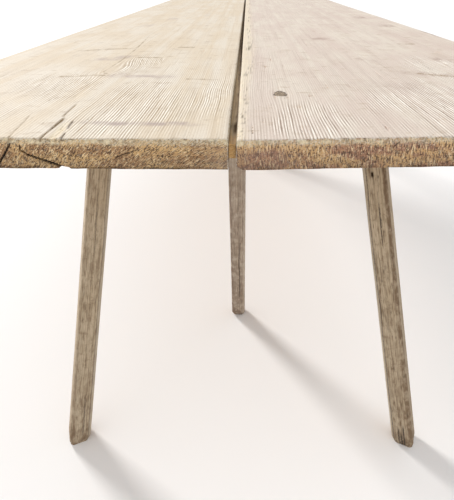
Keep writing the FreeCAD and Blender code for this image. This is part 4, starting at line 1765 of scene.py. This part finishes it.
@dataclass(frozen=True)
class Trestle:
    """Beam with three legs, which faces the table's end that it stands at."""

    end: End
    body: Body
    legs: tuple[Leg, ...]
    seed: int
    beam_chamfer: float = 9.0 * MM
    end_bevel: float = 2.0 * MM
    adze_depth: float = 2.2 * MM
    roughness: float = 0.3 * MM
    ring_pitch: float = 4.2 * MM
    cap_shares: tuple[float, ...] = (0.85, 0.65, 0.4, 0.15)
    bore_overrun: float = 30.0 * MM

    @property
    def word(self) -> str:
        """The end's name, as the nodes have it."""
        return self.end.name.lower()

    def axes(self, leg: Leg, twist: float) -> tuple[Array, Array, Array, Array]:
        """A leg's foot, its axis, and the two directions of its section.

        The section is turned by the twist, then leaned over from upright about the level line
        across the leg's run.

        Args:
            leg: the leg.
            twist: turn about the leg's own axis.

        Returns:
            Four vectors.
        """
        low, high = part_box(f"{self.word}_beam")
        facing = -self.end.value
        origin = np.array([0.0, (low.y + high.y) / 2, 0.0])
        foot = origin + facing * np.array([leg.foot[0], leg.foot[1], 0.0])
        head = origin + np.array([facing * leg.head, 0.0, (low.z + high.z) / 2])
        axis = (head - foot) / np.linalg.norm(head - foot)
        lean = np.cross((0.0, 0.0, 1.0), axis)
        sine = np.linalg.norm(lean)
        lean = lean / sine

        def leaned(flat: Array) -> Array:
            """A level direction after the lean."""
            along = np.dot(flat, lean) * lean
            return along + (flat - along) * axis[2] + np.cross(lean, flat) * sine

        turn = twist + (0.0 if self.end is End.NEAR else math.pi)
        first = leaned(np.array([math.cos(turn), math.sin(turn), 0.0]))
        second = leaned(np.array([-math.sin(turn), math.cos(turn), 0.0]))
        return foot, axis, first, second

    def ring(
        self, axes: tuple[Array, ...], radius: Array | float, angle: Array, height: Array,
        flattening: Array | float = 1.0,
    ) -> Array:
        """Places on level cuts of a leaning bar.

        A point of the section slides along the bar's axis until it has the wanted height.

        Args:
            axes: the bar's foot, axis and section directions.
            radius: distances from the axis in the section.
            angle: angles round the section, in one row.
            height: heights over the floor, in one column.
            flattening: what the section's first coordinate is multiplied by.

        Returns:
            Places by height and angle.
        """
        foot, axis, first, second = axes
        across, through, height = np.broadcast_arrays(
            flattening * radius * np.cos(angle), radius * np.sin(angle), height,
        )
        offset = across[..., None] * first + through[..., None] * second
        slide = (height - offset[..., 2]) / axis[2]
        return foot + offset + slide[..., None] * axis

    def dress_leg(self, leg: Leg) -> None:
        """Builds a leg: an eight-sided shaft, its shoulder under the beam and its round tenon.

        Args:
            leg: the leg.
        """
        swapped = {"left": "right", "right": "left"}
        side = leg.side if self.end is End.NEAR else swapped.get(leg.side, leg.side)
        node = f"{self.word}_{side}_leg"
        low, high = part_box(f"{self.word}_beam")
        noise = SmoothNoise(leg.seed + (FAR_SEEDS if self.end is End.FAR else 0), LEG_CELLS)
        angle = clockwise(leg.around)
        foot = np.array([0.0, 0.8, 2.0, 4.0, 7.0, 10.0]) * MM
        z = np.concatenate((foot, np.linspace(14.0 * MM, low.z, 140)))[:, None]
        radius, half = leg.radius(noise, angle, z, low.z)
        shaft_marks = leg.marks(noise, angle, z, half)
        split, strength = np.abs(shaft_marks["crack"][..., 0]), shaft_marks["crack"][..., 1]
        radius = radius - leg.split_depth * strength * (1 - ease(0.3, 1.6, split))
        axes = self.axes(leg, leg.twist)
        shaft = self.ring(axes, radius, angle, z)
        tenon_top = high.z - leg.tenon_recess
        tenon_z = np.concatenate(([low.z], np.linspace(low.z + 2.0 * MM, tenon_top, 14)))
        tenon = self.ring(axes, leg.tenon_radius, angle, tenon_z[:, None])
        rings = capped(np.concatenate((shaft, tenon)))
        wood = self.grain_places(leg, rings)
        ring = np.hypot(wood[..., 0] - leg.pith[0], wood[..., 1] - leg.pith[1]) / leg.ring_pitch
        marks = {"wood": wood, "ring": ring}
        first = len(CAP_SHARES)
        for key, values in shaft_marks.items():
            marks[key] = np.zeros((*rings.shape[:2], *values.shape[2:]))
            marks[key][first: first + len(shaft)] = values
        piece = put_sweeps(f"{node}_pole", [rings], [marks])
        settle(piece, leg.finish, self.body, "leg", node)
        self.dress_wedge(leg, f"{node}_wedge")

    def grain_places(self, leg: Leg, rings: Array) -> Array:
        """Places in a leg's own section and along its axis."""
        foot, axis, first, second = self.axes(leg, leg.twist)
        return np.stack([(rings - foot) @ direction for direction in (first, second, axis)], axis=-1)

    def dress_wedge(self, leg: Leg, node: str) -> None:
        """Builds the wedge in a tenon: a tapered slip whose struck head is a little spread.

        Args:
            leg: the leg that it splits.
            node: the wedge's node.
        """
        axes = self.axes(leg, 0.0)
        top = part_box(f"{self.word}_beam")[1].z - leg.wedge_recess
        share = np.concatenate((np.linspace(0.0, 0.94, 14), [0.97, 0.99, 1.0]))[:, None]
        thick = (leg.wedge_tip + (leg.wedge_thickness - leg.wedge_tip) * share) / 2
        soft = 1 - 0.10 * (1 - ease(1.0, 0.96, share))
        angle = clockwise(48)
        wide = leg.wedge_share * leg.tenon_radius
        reach = (np.abs(np.cos(angle)) ** 10 + np.abs(np.sin(angle)) ** 10) ** (-0.1)
        height = top - leg.wedge_length * axes[1][2] * (1 - share)
        rings = capped(self.ring(axes, wide * soft * reach, angle, height, thick / wide))
        wood = self.grain_places(leg, rings)
        piece = put_sweeps(f"{node}_slip", [rings], [{"wood": wood, "ring": wood[..., 0] / MM}])
        settle(piece, CLEFT_PEG, self.body, "wedge", node)

    def dress_beam(self) -> None:
        """Builds the beam: a chamfered section along X, hollowed by the adze and bored for the legs."""
        node = f"{self.word}_beam"
        low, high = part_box(node)
        noise = SmoothNoise(self.seed)
        c = self.beam_chamfer
        section = [
            (high.y - c, high.z), (high.y, high.z - c), (high.y, low.z + c), (high.y - c, low.z),
            (low.y + c, low.z), (low.y, low.z + c), (low.y, high.z - c), (low.y + c, high.z),
        ]
        points = evenly(section, 4.0 * MM)
        middle = np.array([(low.y + high.y) / 2, (low.z + high.z) / 2])
        x = close_ended(low.x, high.x, np.array([0.0, 0.8, 2.0]) * MM, 180)
        edge = np.minimum(x - low.x, high.x - x)
        bevel = self.end_bevel * (1 - ease(0.0, self.end_bevel, edge))
        slanted = points.sum(1) / 0.045
        scoop = np.abs(noise.at(x / 0.055 + points[:, 1] / 0.08, slanted))
        rough = noise.rough(x / 0.02 + 9.0, points.sum(1) / 0.01)
        hollow = self.adze_depth * (1 - scoop) ** 2 + self.roughness * (1 + rough)
        resting = ease(high.z - 3.0 * MM, high.z - 0.5 * MM, points[:, 1])
        hollow = hollow * (1 - 0.85 * resting)
        flat = points - outwards(points, middle) * (hollow + bevel)[..., None]
        rings = capped(along_x(x, flat), self.cap_shares)
        marks = wood_marks(rings, (1, 2, 0), self.ring_pitch, self.seed)
        piece = put_sweeps(f"{node}_timber", [rings], [marks])
        cut_out(piece, [self.bore(leg) for leg in self.legs])
        settle(piece, HEWN_TIMBER, self.body, "beam", node)

    def bore(self, leg: Leg) -> Piece:
        """Cutter for the round mortise that a leg's tenon fills.

        Args:
            leg: the leg.

        Returns:
            The cutter.
        """
        low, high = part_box(f"{self.word}_beam")
        z = np.linspace(low.z - self.bore_overrun, high.z + self.bore_overrun, 12)[:, None]
        rings = self.ring(self.axes(leg, 0.0), leg.tenon_radius + leg.bore_fit, clockwise(48), z)
        return put_sweeps(f"{self.word}_{leg.side}_bore", [rings], [{"wood": rings[..., [1, 2, 0]]}])

    def dress(self) -> None:
        """Builds the legs, their wedges and the beam."""
        for leg in self.legs:
            self.dress_leg(leg)
        self.dress_beam()


BATTENS = tuple(
    Batten(f"{place}_batten", seed) for place, seed in (("near", 71), ("middle", 72), ("far", 73))
)
TONGUE = Tongue()
LEGS = (
    Leg("left", (-0.369, -0.229), -0.278, 45.0 * MM, 44.0 * MM, math.radians(24.0), 81, -0.125, 0.375,
        splits=(
            Split(-0.150, 0.0, 0.9, 0.5 * MM, 0.35),
            Split(-0.262, 0.42, 0.53, strength=0.5),
            Split(-0.225, 0.03, 0.12, strength=0.6),
            Split(0.20, 0.08, 0.40),
        )),
    Leg("right", (0.356, -0.206), 0.215, 45.0 * MM, 44.0 * MM, math.radians(-24.0), 82, -0.375, -0.125,
        mottle=1.5, grime=0.05,
        splits=(
            Split(-0.349, 0.0, 0.9, 0.6 * MM, 0.6),
            Split(-0.285, 0.0, 0.045, 1.0 * MM),
            Split(-0.250, 0.0, 0.030, 1.0 * MM),
            Split(-0.215, 0.0, 0.055, 1.0 * MM),
            Split(-0.232, 0.44, 0.52),
            Split(0.22, 0.05, 0.36),
        ),
        holes=(Hole(-0.270, 0.560, 3.2 * MM, 6.5 * MM), Hole(-0.20, 0.558, 1.2 * MM, 4.0 * MM))),
    Leg("inner", (-0.020, 0.217), -0.029, 39.0 * MM, 37.0 * MM, 0.0, 83, -0.125, 0.375,
        worn=0.15, mottle=0.4, grime=0.42,
        splits=(Split(-0.22, 0.12, 0.34), Split(0.30, 0.05, 0.30)), finish=ASHEN_POLE),
)


@dataclass(frozen=True)
class Studio:
    """Pale floor, soft light and a camera that stands near the table's end."""

    eye: Triple = (-0.0135, -1.7346, 0.8783)
    turn_left: float = math.radians(2.29)
    pitch_down: float = math.radians(32.09)
    focal_pixels: float = 441.0
    picture_height: float = 500.0
    sensor: float = 36.0
    sight: float = 200.0
    floor_half: float = 30.0
    floor_lines: int = 9
    floor_drop: float = 0.2 * MM
    floor_clouds: Triple = (1.4, 1.4, 1.4)
    floor_tones: tuple[Colour, Colour] = ((0.925, 0.92, 0.915), (0.95, 0.945, 0.94))
    floor_roughness: float = 0.7
    floor_gloss: float = 0.1
    sky_colour: Colour = (0.985, 0.99, 1.0)
    sky_strength: float = 0.82
    lamp_colour: Colour = (1.0, 0.975, 0.95)
    lamp_strength: float = 2.9
    lamp_spread: float = math.radians(14.0)
    lamp_direction: Triple = (1.6, -1.8, -1.0)

    def camera(self) -> None:
        """Makes the camera; the sensor's width spans the picture's longer side."""
        data = bpy.data.cameras.new("camera")
        data.sensor_width = self.sensor
        data.lens = self.focal_pixels * self.sensor / self.picture_height
        data.clip_end = self.sight
        camera = bpy.data.objects.new("camera", data)
        camera.location = self.eye
        camera.rotation_euler = (math.pi / 2 - self.pitch_down, 0.0, self.turn_left)
        bpy.context.scene.collection.objects.link(camera)
        bpy.context.scene.camera = camera

    def floor(self) -> None:
        """Lays a pale floor, a little uneven in tone, as a flat grid."""
        line = np.linspace(-self.floor_half, self.floor_half, self.floor_lines)
        x, y = np.meshgrid(line, line)
        places = np.stack((x, y, np.full_like(x, -self.floor_drop)), axis=-1).reshape(-1, 3)
        faces = grid_faces(np.arange(x.size).reshape(x.shape))
        floor = put_mesh("floor", places, [faces], {})
        graph = NodeGraph("pale_floor")
        place = graph.tree.nodes.new("ShaderNodeTexCoord").outputs["Object"]
        cloud = graph.noise(place, self.floor_clouds, detail=2.0)
        graph.wire(graph.shader.inputs["Base Color"], graph.blend(cloud, *self.floor_tones))
        graph.shader.inputs["Roughness"].default_value = self.floor_roughness
        graph.shader.inputs["Specular IOR Level"].default_value = self.floor_gloss
        floor.data.materials.append(graph.material)

    def light(self) -> None:
        """Bright sky all round, and one soft lamp that shines in low from behind on the left."""
        world = bpy.data.worlds.new("studio")
        world.use_nodes = True
        sky = world.node_tree.nodes["Background"]
        sky.inputs["Color"].default_value = (*self.sky_colour, 1.0)
        sky.inputs["Strength"].default_value = self.sky_strength
        bpy.context.scene.world = world
        data = bpy.data.lights.new("soft_lamp", "SUN")
        data.energy = self.lamp_strength
        data.angle = self.lamp_spread
        data.color = self.lamp_colour
        lamp = bpy.data.objects.new("soft_lamp", data)
        lamp.rotation_euler = Vector(self.lamp_direction).to_track_quat("-Z", "Y").to_euler()
        bpy.context.scene.collection.objects.link(lamp)
        bpy.context.scene.view_settings.view_transform = "Standard"


def planks() -> list[Plank]:
    """The two boards with what time has left on them.

    Returns:
        The left plank and the right one.
    """
    left = Plank(
        "left_plank",
        Grain(
            4.6 * MM, 2.7 * MM, (0.25, 1.8), 9.0 * MM, 11,
            (Swirl(0.227, -0.99, 0.022, 0.05, 0.07),),
            (
                Patch(-0.135, -1.225, 0.072, 0.135), Patch(-0.27, -1.12, 0.075, 0.085),
                Patch(-0.05, -1.15, 0.02, 0.10), Patch(-0.19, -0.95, 0.035, 0.10),
            ),
        ),
        SCRUBBED_LEFT, seed=21,
        end_cracks=(
            Crack(((-0.2285, 0.7475), (-0.2300, 0.7452), (-0.2408, 0.7315),
                   (-0.2451, 0.7265), (-0.2510, 0.7180)), (0.5 * MM, 0.7 * MM), 5.0 * MM),
            Crack(((-0.2214, 0.7450), (-0.2227, 0.7386), (-0.2163, 0.7338), (-0.2031, 0.7286),
                   (-0.1871, 0.7228), (-0.1760, 0.7170)), (0.35 * MM, 0.85 * MM), 6.0 * MM),
            Crack(((-0.1345, 0.7318), (-0.1301, 0.7336), (-0.1173, 0.7381), (-0.1120, 0.7400)),
                  (0.5 * MM, 0.3 * MM), 2.0 * MM, 0.7),
        ),
        top_cracks=(
            Crack(((-0.2285, -1.358), (-0.2338, -1.3243), (-0.2385, -1.2909), (-0.2440, -1.262)),
                  (0.8 * MM, 0.5 * MM), 1.2 * MM, 0.65, True),
            Crack(((-0.2012, -1.358), (-0.2014, -1.3199), (-0.2019, -1.300), (-0.2025, -1.272)),
                  (0.8 * MM, 1.8 * MM), 2.0 * MM, 0.9, True),
            Crack(((-0.2050, -1.272), (-0.2067, -1.2633), (-0.2078, -1.2343), (-0.2085, -1.215)),
                  (0.9 * MM, 1.0 * MM), 1.2 * MM, 0.75, True),
            Crack(((-0.1800, -1.352), (-0.1822, -1.3376), (-0.1840, -1.325)),
                  (1.3 * MM, 0.8 * MM), 1.5 * MM, 0.6),
            Crack(((-0.1860, -1.314), (-0.1882, -1.301), (-0.1896, -1.286)),
                  (1.0 * MM, 1.3 * MM), 1.5 * MM, 0.5),
            Crack(((-0.290, -1.060), (-0.268, -1.0566), (-0.2285, -1.0484), (-0.215, -1.047)),
                  (3.0 * MM, 2.5 * MM), 0.3 * MM, 0.9, True),
            Crack(((-0.100, -1.070), (-0.085, -1.0715), (-0.050, -1.0745)),
                  (2.5 * MM, 2.5 * MM), 0.3 * MM, 0.9, True),
            Crack(((-0.2332, -1.037), (-0.2312, -0.9873), (-0.2304, -0.9104),
                   (-0.234, -0.7785), (-0.2498, -0.5436)), (1.0 * MM, 1.0 * MM), 0.3 * MM, 0.8, True),
            Crack(((-0.345, -0.808), (-0.328, -0.802), (-0.2556, -0.7724), (-0.240, -0.769)),
                  (5.0 * MM, 4.0 * MM), 0.3 * MM, 0.6, True),
            Crack(((-0.2152, -0.8828), (-0.1624, -0.884)), (4.0 * MM, 3.0 * MM), 0.3 * MM, 0.8, True),
            Crack(((-0.1548, -0.7529), (-0.1156, -0.7543)), (5.0 * MM, 5.0 * MM), 0.3 * MM, 0.7, True),
        ),
        scars=(
            Trace(((-0.1880, -1.360), (-0.1935, -1.3065), (-0.1945, -1.290)), 5.5 * MM, 0.55, 0.8 * MM),
        ),
        stains=(
            Trace(((-0.190, -1.289), (-0.120, -1.294)), 9.0 * MM, 0.60),
            Trace(((-0.170, -1.295), (-0.050, -1.294)), 9.0 * MM, 1.0),
            Trace(((-0.240, -1.046), (-0.105, -1.058)), 16.0 * MM, 0.85),
            Trace(((-0.280, -0.915), (-0.215, -0.870)), 20.0 * MM, 0.8),
            Trace(((-0.335, -0.350), (-0.280, -0.305)), 28.0 * MM, 0.7),
            Trace(((-0.280, -0.112), (-0.235, -0.111)), 40.0 * MM, 0.7),
        ),
        chips=(Chip(-0.1838, 7.0 * MM, 3.4 * MM),),
    )
    right = Plank(
        "right_plank",
        Grain(
            2.9 * MM, 4.2 * MM, (-0.1, -0.5), 8.0 * MM, 17,
            (Swirl(0.0514, -1.157, 0.006, 0.03, 0.05),),
            (
                Patch(0.058, -1.275, 0.048, 0.085), Patch(0.215, -1.19, 0.085, 0.14),
                Patch(0.30, -1.0, 0.06, 0.16),
            ),
        ),
        SCRUBBED_RIGHT, seed=43,
        knots=(Knot(0.0304, -1.163, 8.6 * MM, 22.0 * MM),),
        end_cracks=(
            Crack(((0.1255, 0.7395), (0.1271, 0.7424), (0.1337, 0.7490), (0.1350, 0.7510)),
                  (0.4 * MM, 0.7 * MM), 2.0 * MM, 0.85),
        ),
        scars=(Trace(((-0.0190, -1.350), (-0.0110, -1.343)), 7.0 * MM, 0.8, 1.6 * MM),),
        stains=(
            Trace(((0.307, -0.892), (0.336, -0.876)), 14.0 * MM, 0.95),
            Trace(((0.060, -1.090), (0.245, -1.130)), 48.0 * MM, 0.17),
            Trace(((0.215, -1.002), (0.310, -1.045)), 24.0 * MM, 0.45),
            Trace(((0.178, -0.880), (0.220, -0.906)), 16.0 * MM, 0.4),
            Trace(((0.130, -0.597), (0.185, -0.586)), 22.0 * MM, 0.6),
            Trace(((0.370, -0.310), (0.415, -0.280)), 28.0 * MM, 0.7),
            Trace(((0.345, -0.015), (0.390, 0.010)), 40.0 * MM, 0.8),
            Trace(((0.440, -0.420), (0.452, -0.560)), 7.0 * MM, 1.0),
        ),
        chips=(Chip(-0.0215, 9.0 * MM, 4.5 * MM),),
        top_cracks=(
            Crack(((0.310, -0.6838), (0.3188, -0.6835), (0.3424, -0.6825), (0.350, -0.682)),
                  (4.0 * MM, 4.0 * MM), 0.3 * MM, 0.8, True),
            Crack(((0.230, -1.012), (0.2372, -1.0108), (0.2907, -1.0393), (0.330, -1.048)),
                  (2.5 * MM, 2.5 * MM), 0.3 * MM, 0.7, True),
        ),
        sap_width=9.6 * MM,
    )
    return [left, right]


def main() -> None:
    """Builds the table's looks in order, then the studio."""
    for plank in planks():
        plank.dress()
    TONGUE.dress()
    for batten in BATTENS:
        batten.dress()
    for trestle in (Trestle(End.NEAR, Body.NEAR, LEGS, 91), Trestle(End.FAR, Body.FAR, LEGS, 92)):
        trestle.dress()
    studio = Studio()
    studio.floor()
    studio.light()
    studio.camera()


if __name__ == "__main__":
    logging.basicConfig(level=logging.INFO, format="%(name)s: %(message)s")
    main()
